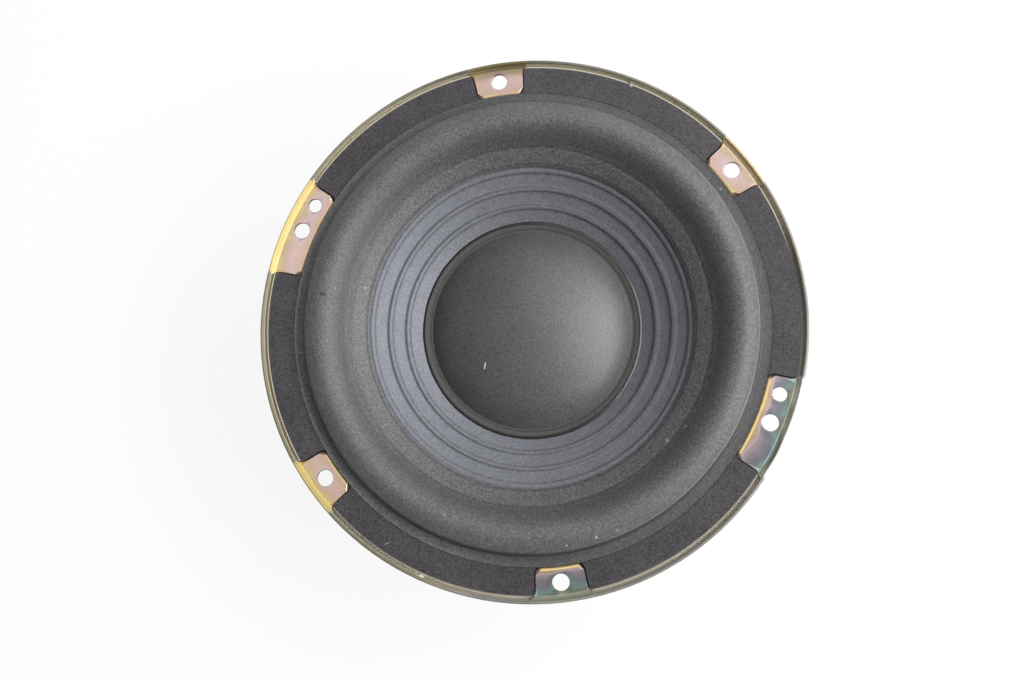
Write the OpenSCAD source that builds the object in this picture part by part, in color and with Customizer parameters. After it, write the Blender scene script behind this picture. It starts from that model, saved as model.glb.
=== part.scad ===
// Moving-coil woofer with a stamped basket, foam surround and ferrite motor.
// The front faces +Z. The origin is on the axis, in the plane of the screw pads' underside.

/* [Basket flange] */
// Outer diameter of the rim
flange_d = 165; // [162:0.5:176]
// Thickness of the steel sheet
sheet_t = 1; // [0.7:0.1:1.3]
// Height of the screw pads above the seat
pad_lift = 1.7; // [1.4:0.1:2.4]
// Height of the rim above the face of the pads
rim_rise = 1.3; // [0.6:0.1:2]
// Gap between the edge of the gasket and the rim's wall
rim_margin = 1.1; // [0.6:0.1:2]
// Width of the two small darts in the corner of the rim
dart_w = 1.8; // [1.2:0.1:2.4]
// Distance that a dart runs in from the rim's wall
dart_run = 1.8; // [1.4:0.1:2.4]
// Height that a dart runs up the rim's wall
dart_rise = 1.8; // [1:0.1:2.2]

/* [Screw pads] */
// Distance from the outer edge of the rim in to the circle through the screw holes
hole_inset = 5.75; // [5.25:0.05:7]
// Diameter of the main screw holes
main_hole_d = 5; // [4:0.1:6]
// Diameter of the extra hole in each wide pad
extra_hole_d = 4.3; // [3:0.1:5]
// Distance from a wide pad's main hole to its extra hole
extra_hole_step = 8.8; // [7:0.1:9.4]
// Width of a pad with one hole, on the hole circle
single_pad_w = 14.8; // [12:0.1:18]
// Width of a pad with two holes, on the hole circle
wide_pad_w = 27.8; // [26:0.1:34]
// Distance from the hole circle in to the pad's inner edge
pad_reach = 4.7; // [4:0.1:6]
// Radius of the pads' inner corners
pad_corner = 1.8; // [0.8:0.1:3]
// Radius of the flare where a pad runs into the rim
pad_flare = 3.4; // [2:0.1:5]
// Radius of the bend over a pad's inner edge
pad_round = 1.1; // [0.8:0.1:1.4]
// Distance that the slope at a pad's inner corners runs in over its face
corner_run = 0.9; // [0.7:0.1:1.6]

/* [Gasket] */
// Thickness of the gasket
gasket_t = 2.5; // [1.5:0.1:4]
// Gap between the gasket and the pads
gasket_gap = 0.4; // [0.2:0.1:0.8]

/* [Surround] */
// Thickness of the foam
foam_t = 1; // [0.6:0.1:1.4]
// Width of the flat outer lip
lip_w = 3.8; // [2.5:0.1:6]
// Width of the half roll, from root to root
roll_w = 12.6; // [10:0.1:15]
// Height of the half roll above its outer lip
roll_h = 6.2; // [4:0.1:8]
// Length of the inner lip that lies on the cone
inner_lip = 5.7; // [4:0.1:6]

/* [Cone] */
// Thickness of the paper
paper_t = 0.8; // [0.5:0.1:1.2]
// Height of the cone's outer edge above the underside of the pads
cone_edge_z = 1.8; // [0.5:0.1:3]
// Slope of the cone, from the flange plane
cone_slope = 29.2; // [24:0.1:34]
// Distance from the cone's outer edge in to the outermost bead
bead_margin = 6.45; // [6.3:0.05:8]
// Number of beads, evenly spaced from there to the dust cap
bead_count = 3; // [1:1:3]
// Width of a bead
bead_w = 1.5; // [1:0.1:2]
// Height of a bead
bead_h = 0.45; // [0.2:0.05:0.8]
// Length of the neck that is glued to the coil former
neck_len = 2; // [1:0.1:3]
// Distance that the cone travels each way
travel = 6; // [2:0.5:8]

/* [Dust cap] */
// Diameter of the dome at its foot
cap_d = 63.2; // [56:0.2:66]
// Width of the glued flange
cap_flange_w = 1.9; // [1:0.1:3]
// Height of the dome above its foot
cap_h = 9; // [6:0.1:14]
// Thickness of the cap
cap_t = 0.7; // [0.4:0.1:1]

/* [Voice coil] */
// Inner diameter of the former
coil_d = 35; // [30:0.5:38]
// Thickness of the former
former_t = 0.35; // [0.2:0.05:0.5]
// Thickness of the winding
winding_t = 1.05; // [0.6:0.05:1.4]
// Length of bare former below the winding
former_tail = 1; // [0.5:0.1:2]

/* [Spider] */
// Thickness of the cloth
cloth_t = 0.6; // [0.4:0.1:0.8]
// Distance from the cone's neck down to the plane of the spider
spider_drop = 6.2; // [5.4:0.1:10]
// Outer diameter of the spider
spider_d = 101; // [94:0.5:104]
// Width of the flat rim that is glued to the basket
spider_rim_w = 4; // [3:0.1:5]
// Height of the glue collar round the former
collar_h = 1.6; // [0.8:0.1:2.2]
// Number of corrugations
wave_count = 6; // [3:1:8]
// Height of a corrugation, each side of the plane
wave_h = 1.3; // [0.6:0.1:1.8]

/* [Basket body] */
// Depth of the band under the flange
band_depth = 8; // [6:0.1:10]
// Distance that the band tapers in over its depth
band_taper = 1; // [0.5:0.1:2]
// Width of the landing that carries the surround's lip
landing_w = 3.2; // [2:0.1:4]
// Depth of the cup below the spider's shelf
cup_depth = 11.7; // [9:0.1:16]
// Distance that the cup's wall tapers in over its depth
cup_taper = 2.6; // [1:0.1:4]
// Radius of the hole in the cup's floor
cup_hole_r = 26; // [23:0.5:27]
// Number of windows
window_count = 6; // [4:1:8]
// Width of a spoke between two windows
spoke_w = 16; // [12:0.5:20]
// Radius of the windows' corners
window_corner = 3.5; // [1.5:0.1:5]
// Depth of the stiffening rib pressed along each spoke
rib_h = 1; // [0.5:0.1:1.4]
// Width of the stiffening rib
rib_w = 5; // [3.5:0.1:6]

/* [Motor] */
// Gap between the winding and the top plate
outer_gap = 0.5; // [0.3:0.05:0.8]
// Gap between the former and the pole
inner_gap = 0.5; // [0.3:0.05:0.8]
// Diameter of the top plate
top_plate_d = 90; // [88:0.5:98]
// Thickness of the top plate
top_plate_t = 6; // [4:0.5:8]
// Outer diameter of the magnet
magnet_d = 100; // [96:0.5:120]
// Bore of the magnet
magnet_bore_d = 45; // [42:0.5:50]
// Height of the magnet
magnet_h = 18; // [16:0.5:25]
// Diameter of the back plate
back_plate_d = 95; // [90:0.5:96]
// Thickness of the back plate
back_plate_t = 6; // [5:0.5:8]
// Diameter of the vent through the pole
vent_d = 12; // [8:0.5:16]
// Chamfer round the back plate
back_chamfer = 1.2; // [0.5:0.1:2.5]
// Radius of the circle of basket rivets
rivet_circle_r = 33; // [31:0.5:35]
// Diameter of a basket rivet's shank
rivet_d = 4; // [3:0.1:5]
// Number of basket rivets
rivet_count = 4; // [3:1:6]

/* [Terminals] */
// Width of the terminal board
board_w = 29; // [27:0.5:34]
// Height of the terminal board
board_h = 11; // [9:0.5:12]
// Thickness of the terminal board
board_t = 1.6; // [1:0.1:2.4]
// Distance from each end of the board in to the middle of its tag
tag_margin = 3; // [2.6:0.1:3.4]
// Width of a tag
tag_w = 4.8; // [3:0.1:5]
// Thickness of a tag
tag_t = 0.8; // [0.5:0.1:1]
// Length of a tag's blade beyond the board
blade_len = 8; // [6:0.5:10]
// Diameter of a tinsel lead
lead_d = 1.4; // [1:0.1:1.8]

/* [Hidden] */
$fn = 96;

// clearances
glue_gap = 0.3;
seat_gap = 0.05;
rivet_gap = 0.1;
cut = 2;

// counts of steps in curves
bend_steps = 4;
corner_steps = 5;
roll_steps = 14;
dome_steps = 20;
wave_steps = 8;

// flange
flange_r = flange_d / 2;
bolt_r = flange_r - hole_inset;
rim_in_r = flange_r - sheet_t;
rim_mid_r = flange_r - sheet_t / 2;
pad_z = sheet_t;
seat_z = pad_z - pad_lift;
seat_mid_z = seat_z - sheet_t / 2;
seat_low_z = seat_z - sheet_t;
rim_z = pad_z + rim_rise;
pad_in_r = bolt_r - pad_reach;
pad_count = 6;
pad_step = 360 / pad_count;
extra_hole_angle = 2 * asin(extra_hole_step / (2 * bolt_r));
crease_r = rim_in_r - rim_margin;
rim_bend = rim_margin + sheet_t / 2 - seat_gap;
rim_edge_z = rim_z - sheet_t / 2;
rim_bare = 0.2;
dart_angles = [90, 270];
corner_tilt = 38;
round_lap = 0.1;

// gasket
gasket_in_r = pad_in_r;
gasket_out_r = rim_in_r - rim_margin;

// surround
lip_out_r = pad_in_r - glue_gap;
roll_out_r = lip_out_r - lip_w;
roll_in_r = roll_out_r - roll_w;
roll_mid_r = (roll_out_r + roll_in_r) / 2;
lip_mid_z = seat_z + foam_t / 2;
root_z = cone_edge_z + glue_gap + foam_t / 2;

// cone
cone_dir = [cos(cone_slope), sin(cone_slope)];
cone_up = [-sin(cone_slope), cos(cone_slope)];
cone_out_r = roll_in_r - foam_t / 2;
former_r = coil_d / 2 + former_t;
neck_r = former_r + seat_gap;
neck_z = cone_edge_z - (cone_out_r - neck_r) * tan(cone_slope);
neck_low_z = neck_z - paper_t / cos(cone_slope) - neck_len;

// dust cap, and the cone's beads that lie outside it
cap_r = cap_d / 2;
cap_out_r = cap_r + cap_flange_w;
bead_r = cone_out_r - bead_margin;
bead_pitch = (bead_r - cap_out_r) / bead_count;

// spider and basket body
spider_z = neck_z - spider_drop;
spider_r = spider_d / 2;
spider_flat_r = spider_r - spider_rim_w;
shelf_mid_z = spider_z - cloth_t / 2 - sheet_t / 2;
shelf_out_r = spider_r + glue_gap + sheet_t;
shelf_in_r = spider_flat_r - sheet_t;
base_mid_z = shelf_mid_z - cup_depth;
base_low_z = base_mid_z - sheet_t / 2;
band_top_r = roll_out_r - landing_w + sheet_t / 2;
band_low_r = band_top_r - band_taper;
band_low_z = seat_mid_z - band_depth;
cup_low_r = shelf_in_r - cup_taper;

// spokes and windows
spoke_run = [band_low_r - shelf_out_r, band_low_z - shelf_mid_z];
spoke_len = norm(spoke_run);
spoke_tilt = atan2(spoke_run[0], spoke_run[1]);
spoke_mid = [(band_low_r + shelf_out_r) / 2, (band_low_z + shelf_mid_z) / 2];
window_step = 360 / window_count;
window_edge = 2.4;
window_reach = 24;
rib_end = 1.5;
rib_wall = 0.9 * sheet_t;
window_top = spoke_len / 2 - window_edge;
window_low = -spoke_len / 2 + window_edge;
terminal_angle = 270;

// motor
winding_r = former_r + winding_t;
plate_bore_r = winding_r + outer_gap;
pole_r = coil_d / 2 - inner_gap;
plate_top_z = base_low_z;
plate_low_z = plate_top_z - top_plate_t;
magnet_low_z = plate_low_z - magnet_h;
back_z = magnet_low_z - back_plate_t;
winding_h = top_plate_t + 2 * travel;
winding_mid_z = (plate_top_z + plate_low_z) / 2;
winding_top_z = winding_mid_z + winding_h / 2;
winding_low_z = winding_mid_z - winding_h / 2;
former_low_z = winding_low_z - former_tail;
former_stub = 1;
former_top_z = neck_z + former_stub;
rivet_head_r = rivet_d * 0.9;
rivet_head_h = 1.4;
plate_chamfer = 0.5;
pole_chamfer = 1;

// terminals, in the frame of a spoke: x out of its face, y round the basket, z up its slope
boss_t = 0.5;
boss_w = spoke_w - 1;
board_corner = 1;
board_x = sheet_t / 2 + boss_t;
tag_pitch = board_w - 2 * tag_margin;
tag_x = board_x + board_t;
tag_hole_d = 1.8;
tag_back = 3.4;
tag_bend_step = 1;
tag_eye_d = 1.6;
tag_eye_margin = 3;
board_rivet_d = 2.4;
board_rivet_step = 5.4;
rivet_bore_d = 0.9;
rivet_floor = 0.4;
flat_head_h = 0.7;
flat_head_r = 1.9;

// eyelets in the cone, under the dust cap
eyelet_r = 27;
eyelet_angle = 13;
eyelet_d = 2.4;
eyelet_flange_d = 3.6;
eyelet_flange_t = 0.3;
eyelet_bore_d = 1;
eyelet_tail = 1;

// route of the tinsel lead on the positive side, from the eyelet to the terminal
lead_route = [[6.3, -27.3, -15.5], [6.5, -28.2, -17.1], [6.9, -29.7, -18.6], [7.5, -31.8, -19.7],
    [8.2, -34.4, -20.3], [9, -37.3, -20.4], [9.7, -40.2, -20], [10.3, -43, -19.1],
    [10.8, -45.8, -18], [11.1, -48.5, -16.9], [11.4, -51, -16.1], [11.5, -53.3, -15.8],
    [11.5, -55.2, -15.9], [11.5, -56.8, -16.6], [11.5, -58.1, -17.6]];
lead_sides = 8;

// geometry helpers
function unit(v) = v / norm(v);
function left(v) = [-v[1], v[0]];
function arc(c, r, a, b, steps) = [for (i = [0:steps]) c + r * [cos(a + (b - a) * i / steps), sin(a + (b - a) * i / steps)]];

// the corner at q, between p and s, rounded to radius r
function bend(p, q, s, r, steps) =
    let (u = unit(p - q), v = unit(s - q), half = acos(u * v) / 2)
    let (c = q + unit(u + v) * r / sin(half), from = q + u * r / tan(half) - c, to = q + v * r / tan(half) - c)
    let (a = atan2(from[1], from[0]), b = atan2(to[1], to[0]), sweep = (b - a + 540) % 360 - 180)
    arc(c, r, a, a + sweep, steps);

// an open path whose inner corners take the radii in the list
function rounded_path(path, radii, steps) = concat([path[0]],
    [for (i = [1:len(path) - 2]) each bend(path[i - 1], path[i], path[i + 1], radii[i - 1], steps)],
    [path[len(path) - 1]]);

// a closed outline whose corners all take one radius
function rounded_outline(points, r, steps) = let (n = len(points))
    [for (i = [0:n - 1]) each bend(points[(i + n - 1) % n], points[i], points[(i + 1) % n], r, steps)];

// a point of a path, moved sideways by d with mitred corners
function beside(path, i, d) =
    let (n = len(path), a = unit(path[max(i, 1)] - path[max(i, 1) - 1]))
    let (b = unit(path[min(i, n - 2) + 1] - path[min(i, n - 2)]), m = unit(left(a) + left(b)))
    path[i] + m * d / (m * left(a));

// the section of a sheet of thickness t that follows a path
function sheet(path, t) = let (n = len(path))
    concat([for (i = [0:n - 1]) beside(path, i, t / 2)], [for (i = [n - 1:-1:0]) beside(path, i, -t / 2)]);

// height of the cone's front face at radius r
function cone_z(r) = cone_edge_z - (cone_out_r - r) * tan(cone_slope);

// width of the screw pad with number i
function pad_w(i) = i % 3 == 0 ? wide_pad_w : single_pad_w;

// outline of a screw pad that points along +X, grown by g: radial sides, round inner corners,
// an inner edge concentric with the rim, and flares into the rim
function pad_outline(w, g) =
    let (half = asin(w / (2 * bolt_r)), corner_dist = pad_in_r + pad_corner, flare_dist = rim_mid_r - pad_flare)
    let (ca = half - asin(pad_corner / corner_dist), fa = half + asin(pad_flare / flare_dist))
    let (side = concat(
        [(flange_r + cut) * [cos(fa), sin(fa)]],
        arc(flare_dist * [cos(fa), sin(fa)], pad_flare - g, fa, half - 90, corner_steps),
        arc(corner_dist * [cos(ca), sin(ca)], pad_corner + g, half + 90, 180 + ca, corner_steps)))
    let (inner = arc([0, 0], pad_in_r - g, ca, -ca, corner_steps), n = len(side))
    concat(side, [for (i = [1:corner_steps - 1]) inner[i]], [for (i = [n - 1:-1:0]) [side[i][0], -side[i][1]]]);

module pads(g) {
    for (i = [0:pad_count - 1])
        rotate([0, 0, i * pad_step])
            polygon(pad_outline(pad_w(i), g));
}

// places its children on the middle of the spoke at angle a
module on_spoke(a) {
    rotate([0, 0, a])
        translate([spoke_mid[0], 0, spoke_mid[1]])
            rotate([0, spoke_tilt, 0])
                children();
}

// a round bar along X, from x = a to x = b
module bar_x(d, a, b) {
    translate([a, 0, 0])
        rotate([0, 90, 0])
            cylinder(d = d, h = b - a);
}

basket_path = rounded_path(
    [[rim_mid_r, rim_edge_z], [rim_mid_r, seat_mid_z], [band_top_r, seat_mid_z], [band_low_r, band_low_z],
        [shelf_out_r, shelf_mid_z], [shelf_in_r, shelf_mid_z], [cup_low_r, base_mid_z],
        [cup_hole_r, base_mid_z]],
    [rim_bend, 2 * sheet_t, 6 * sheet_t, 2 * sheet_t, 1.5 * sheet_t, 1.5 * sheet_t], bend_steps);

// the basket's sheet, with a round edge along the rim
module basket_section() {
    edge = arc([rim_mid_r, rim_edge_z], sheet_t / 2, 180, 0, 2 * bend_steps);
    polygon(concat(sheet(basket_path, sheet_t), [for (i = [1:2 * bend_steps - 1]) edge[i]]));
}

// the raised pads fill this section: rounded over the inner edge, and run up into the rim's wall
// just under its edge
module pad_section() {
    over = arc([pad_in_r + pad_round - round_lap, pad_z - pad_round], pad_round, 180, 90, bend_steps);
    polygon(concat([[over[0][0], seat_mid_z]], over,
        [[crease_r, pad_z], [rim_in_r - rim_margin / 3, pad_z + rim_rise / 3],
            [rim_in_r + sheet_t / 4, rim_z - rim_bare], [rim_mid_r, rim_z - rim_bare],
            [rim_mid_r, seat_mid_z + rim_bend], [rim_mid_r - rim_bend, seat_mid_z]]));
}

// the slopes across a pad's two inner corners, as a block above each to cut away
module corner_slopes(w) {
    half = asin(w / (2 * bolt_r));
    corner_dist = pad_in_r + pad_corner;
    turn = half - asin(pad_corner / corner_dist);
    size = 4 * pad_corner;
    for (s = [-1, 1])
        rotate([0, 0, s * turn])
            translate([corner_dist, 0, pad_z])
                rotate([0, 0, 180 - s * 45])
                    translate([pad_corner - corner_run, 0, 0])
                        rotate([0, corner_tilt, 0])
                            translate([-cut, -size / 2, 0])
                                cube(size);
}

// a dart: a small web across the corner between the seat and the rim's wall, pointed inwards
module dart() {
    tip_r = rim_in_r - dart_run;
    intersection() {
        translate([0, 0, seat_low_z])
            linear_extrude(height = rim_z - seat_low_z)
                polygon([[tip_r, -dart_w / 6], [rim_mid_r, -dart_w / 2], [rim_mid_r, dart_w / 2],
                    [tip_r, dart_w / 6]]);
        rotate([90, 0, 0])
            linear_extrude(height = 2 * dart_w, center = true)
                polygon([[tip_r - cut, seat_mid_z], [tip_r - cut, seat_z + sheet_t / 3],
                    [tip_r, seat_z + sheet_t / 3], [rim_in_r + sheet_t / 4, seat_z + dart_rise],
                    [rim_mid_r, seat_z + dart_rise], [rim_mid_r, seat_mid_z + rim_bend],
                    [rim_mid_r - rim_bend, seat_mid_z]]);
    }
}

// one window, cut square through the slope between two spokes
module window_cutter() {
    top_half = (spoke_mid[0] + window_top * sin(spoke_tilt)) * tan(window_step / 2)
        - spoke_w / 2 / cos(window_step / 2);
    low_half = (spoke_mid[0] + window_low * sin(spoke_tilt)) * tan(window_step / 2)
        - spoke_w / 2 / cos(window_step / 2);
    outline = rounded_outline([[window_low, -low_half], [window_low, low_half], [window_top, top_half],
        [window_top, -top_half]], window_corner, corner_steps);
    rotate([0, -90, 0])
        linear_extrude(height = window_reach, center = true)
            polygon(outline);
}

// the rib pressed along a spoke: a rounded ridge, or the same ridge drawn in for its hollow
module rib(inset) {
    rib_len = spoke_len - 2 * rib_end;
    intersection() {
        translate([sheet_t / 2 + rib_h - inset - rib_w, 0, 0])
            cylinder(r = rib_w, h = rib_len, center = true);
        translate([-cut, -rib_w / 2 + inset, -rib_len / 2 + inset])
            cube([rib_w + cut, rib_w - 2 * inset, rib_len - 2 * inset]);
    }
}

// places its children on each spoke that has a rib: all but the one with the terminals
module on_ribbed_spokes() {
    for (i = [0:window_count - 1])
        if (abs((i + 0.5) * window_step - terminal_angle) > window_step / 2)
            on_spoke((i + 0.5) * window_step)
                children();
}

module basket() {
    color("#c9b878")
        difference() {
            union() {
                rotate_extrude()
                    basket_section();
                difference() {
                    intersection() {
                        translate([0, 0, seat_low_z])
                            linear_extrude(height = rim_z - seat_low_z)
                                pads(0);
                        rotate_extrude()
                            pad_section();
                    }
                    for (i = [0:pad_count - 1])
                        rotate([0, 0, i * pad_step])
                            corner_slopes(pad_w(i));
                }
                for (a = dart_angles)
                    rotate([0, 0, a])
                        dart();
                on_spoke(terminal_angle)
                    translate([0, -boss_w / 2, -board_h / 2])
                        cube([board_x, boss_w, board_h]);
                on_ribbed_spokes()
                    rib(0);
            }
            on_ribbed_spokes()
                rib(rib_wall);
            translate([0, 0, seat_low_z - cut])
                linear_extrude(height = cut - seat_low_z)
                    pads(-sheet_t);
            for (i = [0:pad_count - 1])
                rotate([0, 0, i * pad_step])
                    translate([bolt_r, 0, seat_low_z])
                        cylinder(d = main_hole_d, h = pad_lift + sheet_t + cut);
            for (a = [extra_hole_angle, 180 - extra_hole_angle])
                rotate([0, 0, a])
                    translate([bolt_r, 0, seat_low_z])
                        cylinder(d = extra_hole_d, h = pad_lift + sheet_t + cut);
            for (i = [0:window_count - 1])
                on_spoke(i * window_step)
                    window_cutter();
            for (i = [0:rivet_count - 1])
                rotate([0, 0, (i + 0.5) * 360 / rivet_count])
                    translate([rivet_circle_r, 0, base_low_z - cut])
                        cylinder(d = rivet_d + 2 * rivet_gap, h = sheet_t + 2 * cut);
            on_spoke(terminal_angle)
                for (s = [-1, 1])
                    translate([0, s * board_rivet_step / 2, 0])
                        bar_x(board_rivet_d + 2 * rivet_gap, -cut, board_x + cut);
        }
}

// the notch in a gasket's outer edge that clears a dart, pointing along +X
module dart_notch() {
    tip_r = rim_in_r - dart_run - gasket_gap;
    polygon([[tip_r, -dart_w / 4], [flange_r, -dart_w], [flange_r, dart_w], [tip_r, dart_w / 4]]);
}

module gasket_segment(i) {
    middle = (i + 0.5) * pad_step;
    color("#4e4c50")
        translate([0, 0, seat_z])
            linear_extrude(height = gasket_t)
                difference() {
                    intersection() {
                        circle(r = gasket_out_r);
                        polygon(concat([[0, 0]], arc([0, 0], 2 * flange_r, middle - pad_step / 2,
                            middle + pad_step / 2, 2)));
                    }
                    circle(r = gasket_in_r);
                    pads(gasket_gap);
                    for (a = dart_angles)
                        if (a == middle)
                            rotate([0, 0, a])
                                dart_notch();
                }
}

function surround_path() =
    let (up = glue_gap + foam_t / 2)
    let (lip_top = [roll_in_r - foam_t, cone_z(roll_in_r - foam_t)] + up * cone_up)
    concat(
        [[lip_out_r, lip_mid_z]],
        [for (i = [0:roll_steps])
            let (a = 180 * i / roll_steps, base = lip_mid_z + (root_z - lip_mid_z) * i / roll_steps)
            [roll_mid_r + roll_w / 2 * cos(a), base + (roll_h - foam_t / 2) * sin(a)]],
        [lip_top, lip_top - inner_lip * cone_dir]);

module surround() {
    color("#6e6e70")
        rotate_extrude()
            polygon(sheet(surround_path(), foam_t));
}

// the bead at radius r, as points of the cone's section from the outside in
function bead(r) = let (base = [r, cone_z(r)])
    [base + bead_w / 2 * cone_dir, base + bead_w / 4 * cone_dir + bead_h * cone_up,
        base - bead_w / 4 * cone_dir + bead_h * cone_up, base - bead_w / 2 * cone_dir];

function cone_path() =
    let (front = concat([[cone_out_r, cone_z(cone_out_r)]],
        [for (i = [0:bead_count - 1]) each bead(bead_r - i * bead_pitch)],
        [[neck_r + paper_t / 2, cone_z(neck_r + paper_t / 2)]]))
    concat([for (p = front) p - paper_t / 2 * cone_up], [[neck_r + paper_t / 2, neck_low_z]]);

// places its children on the cone's paper, square to it, at each of the two leads
module on_cone_leads() {
    for (s = [-1, 1])
        rotate([0, 0, terminal_angle + s * eyelet_angle])
            translate([eyelet_r, 0, cone_z(eyelet_r)])
                rotate([0, -cone_slope, 0])
                    children();
}

module cone() {
    color("#8a8d96")
        difference() {
            rotate_extrude()
                polygon(sheet(cone_path(), paper_t));
            on_cone_leads()
                translate([0, 0, -paper_t - cut])
                    cylinder(d = eyelet_d + 2 * seat_gap, h = paper_t + 2 * cut);
        }
}

module dust_cap() {
    foot = [cap_r, cone_z(cap_r)] + seat_gap * cone_up;
    rim = [cap_out_r, cone_z(cap_out_r)] + seat_gap * cone_up;
    dome_r = (cap_r * cap_r + cap_h * cap_h) / (2 * cap_h);
    centre = [0, foot[1] + cap_h - dome_r];
    start = acos(cap_r / dome_r);
    color("#55565a")
        rotate_extrude()
            polygon(concat(
                arc(centre, dome_r, 90, start, dome_steps),
                [rim, rim + cap_t * cone_up],
                arc(centre, dome_r + cap_t, start + 1, 90, dome_steps)));
}

module ring(r_out, r_in, z_low, z_top) {
    translate([0, 0, z_low])
        difference() {
            cylinder(r = r_out, h = z_top - z_low);
            translate([0, 0, -cut])
                cylinder(r = r_in, h = z_top - z_low + 2 * cut);
        }
}

module voice_coil_former() {
    color("#b98c3a")
        ring(former_r, coil_d / 2, former_low_z, former_top_z);
}

module voice_coil_winding() {
    color("#b5623a")
        ring(winding_r, former_r, winding_low_z, winding_top_z);
}

function spider_path() =
    let (r_in = former_r + glue_gap + cloth_t / 2, r_start = r_in + 2 * cloth_t, steps = wave_count * wave_steps)
    concat(
        [[spider_r, spider_z], [spider_flat_r, spider_z]],
        [for (i = [1:steps - 1])
            [spider_flat_r + (r_start - spider_flat_r) * i / steps, spider_z + wave_h * sin(360 * i / wave_steps)]],
        [[r_start, spider_z], [r_in, spider_z + 2 * cloth_t], [r_in, spider_z + 2 * cloth_t + collar_h]]);

module spider() {
    color("#c8a34c")
        rotate_extrude()
            polygon(sheet(spider_path(), cloth_t));
}

module top_plate() {
    color("#b9b7a8")
        difference() {
            rotate_extrude()
                polygon([[plate_bore_r, plate_low_z], [top_plate_d / 2 - plate_chamfer, plate_low_z],
                    [top_plate_d / 2, plate_low_z + plate_chamfer], [top_plate_d / 2, plate_top_z - plate_chamfer],
                    [top_plate_d / 2 - plate_chamfer, plate_top_z], [plate_bore_r, plate_top_z]]);
            for (i = [0:rivet_count - 1])
                rotate([0, 0, (i + 0.5) * 360 / rivet_count])
                    translate([rivet_circle_r, 0, plate_low_z - cut])
                        cylinder(d = rivet_d + 2 * rivet_gap, h = top_plate_t + 2 * cut);
        }
}

module magnet() {
    color("#34343a")
        rotate_extrude()
            polygon([[magnet_bore_d / 2, magnet_low_z], [magnet_d / 2 - plate_chamfer, magnet_low_z],
                [magnet_d / 2, magnet_low_z + plate_chamfer], [magnet_d / 2, plate_low_z - plate_chamfer],
                [magnet_d / 2 - plate_chamfer, plate_low_z], [magnet_bore_d / 2, plate_low_z]]);
}

module t_yoke() {
    color("#b9b7a8")
        rotate_extrude()
            polygon([[vent_d / 2 + pole_chamfer, back_z], [back_plate_d / 2 - back_chamfer, back_z],
                [back_plate_d / 2, back_z + back_chamfer], [back_plate_d / 2, magnet_low_z], [pole_r, magnet_low_z],
                [pole_r, plate_top_z - pole_chamfer], [pole_r - pole_chamfer, plate_top_z],
                [vent_d / 2, plate_top_z], [vent_d / 2, back_z + pole_chamfer]]);
}

module basket_rivets() {
    color("#b9b7a8")
        for (i = [0:rivet_count - 1])
            rotate([0, 0, (i + 0.5) * 360 / rivet_count])
                translate([rivet_circle_r, 0, 0])
                    rotate_extrude()
                        polygon([[0, plate_low_z + seat_gap], [rivet_d / 2, plate_low_z + seat_gap],
                            [rivet_d / 2, base_low_z + sheet_t], [rivet_head_r, base_low_z + sheet_t],
                            [rivet_head_r * 0.8, base_low_z + sheet_t + rivet_head_h * 0.7],
                            [rivet_head_r * 0.5, base_low_z + sheet_t + rivet_head_h],
                            [0, base_low_z + sheet_t + rivet_head_h]]);
}

module terminal_board() {
    color("#8a6a3c")
        on_spoke(terminal_angle)
            difference() {
                translate([board_x, 0, 0])
                    rotate([0, 90, 0])
                        linear_extrude(height = board_t)
                            polygon(rounded_outline([[-board_h / 2, -board_w / 2], [-board_h / 2, board_w / 2],
                                [board_h / 2, board_w / 2], [board_h / 2, -board_w / 2]],
                                board_corner, bend_steps));
                for (y = [-tag_pitch / 2, tag_pitch / 2])
                    translate([0, y, 0])
                        bar_x(tag_hole_d + 2 * rivet_gap, 0, tag_x + cut);
                for (y = [-board_rivet_step / 2, board_rivet_step / 2])
                    translate([0, y, 0])
                        bar_x(board_rivet_d + 2 * rivet_gap, 0, tag_x + cut);
            }
}

// a tag: a flat foot under its rivet, and a blade bent out past the board's lower edge
module terminal_tag(s) {
    bend_z = -board_h / 2 - tag_bend_step;
    color("#d0cdbf")
        on_spoke(terminal_angle)
            translate([tag_x, s * tag_pitch / 2, 0])
                difference() {
                    union() {
                        translate([0, -tag_w / 2, bend_z])
                            cube([tag_t, tag_w, tag_back - bend_z]);
                        translate([0, -tag_w / 2, bend_z])
                            cube([blade_len, tag_w, tag_t]);
                    }
                    bar_x(tag_hole_d + 2 * rivet_gap, -cut, tag_t + cut);
                    translate([blade_len - tag_eye_margin, 0, bend_z - cut])
                        cylinder(d = tag_eye_d, h = tag_t + 2 * cut);
                }
}

// a hollow rivet along X with a flat head at each end of the pile from x = a to x = b
module hollow_rivet(d, a, b) {
    difference() {
        union() {
            bar_x(d, a - flat_head_h, b + flat_head_h);
            bar_x(2 * flat_head_r, a - flat_head_h, a - seat_gap);
            bar_x(2 * flat_head_r, b + seat_gap, b + flat_head_h);
        }
        bar_x(rivet_bore_d, a + rivet_floor, b + flat_head_h + cut);
    }
}

module terminal_rivets() {
    color("#d8c070")
        on_spoke(terminal_angle)
            for (s = [-1, 1])
                translate([0, s * tag_pitch / 2, 0])
                    hollow_rivet(tag_hole_d, board_x, tag_x + tag_t);
}

module board_rivets() {
    color("#b9b7a8")
        on_spoke(terminal_angle)
            for (s = [-1, 1])
                translate([0, s * board_rivet_step / 2, 0])
                    hollow_rivet(board_rivet_d, -sheet_t / 2 - glue_gap, tag_x);
}

module lead_eyelets() {
    color("#d8c070")
        on_cone_leads()
            difference() {
                union() {
                    translate([0, 0, -paper_t - eyelet_tail])
                        cylinder(d = eyelet_d, h = paper_t + eyelet_tail + eyelet_flange_t);
                    translate([0, 0, seat_gap])
                        cylinder(d = eyelet_flange_d, h = eyelet_flange_t);
                }
                translate([0, 0, -paper_t])
                    cylinder(d = eyelet_bore_d, h = paper_t + cut);
            }
}

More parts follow.
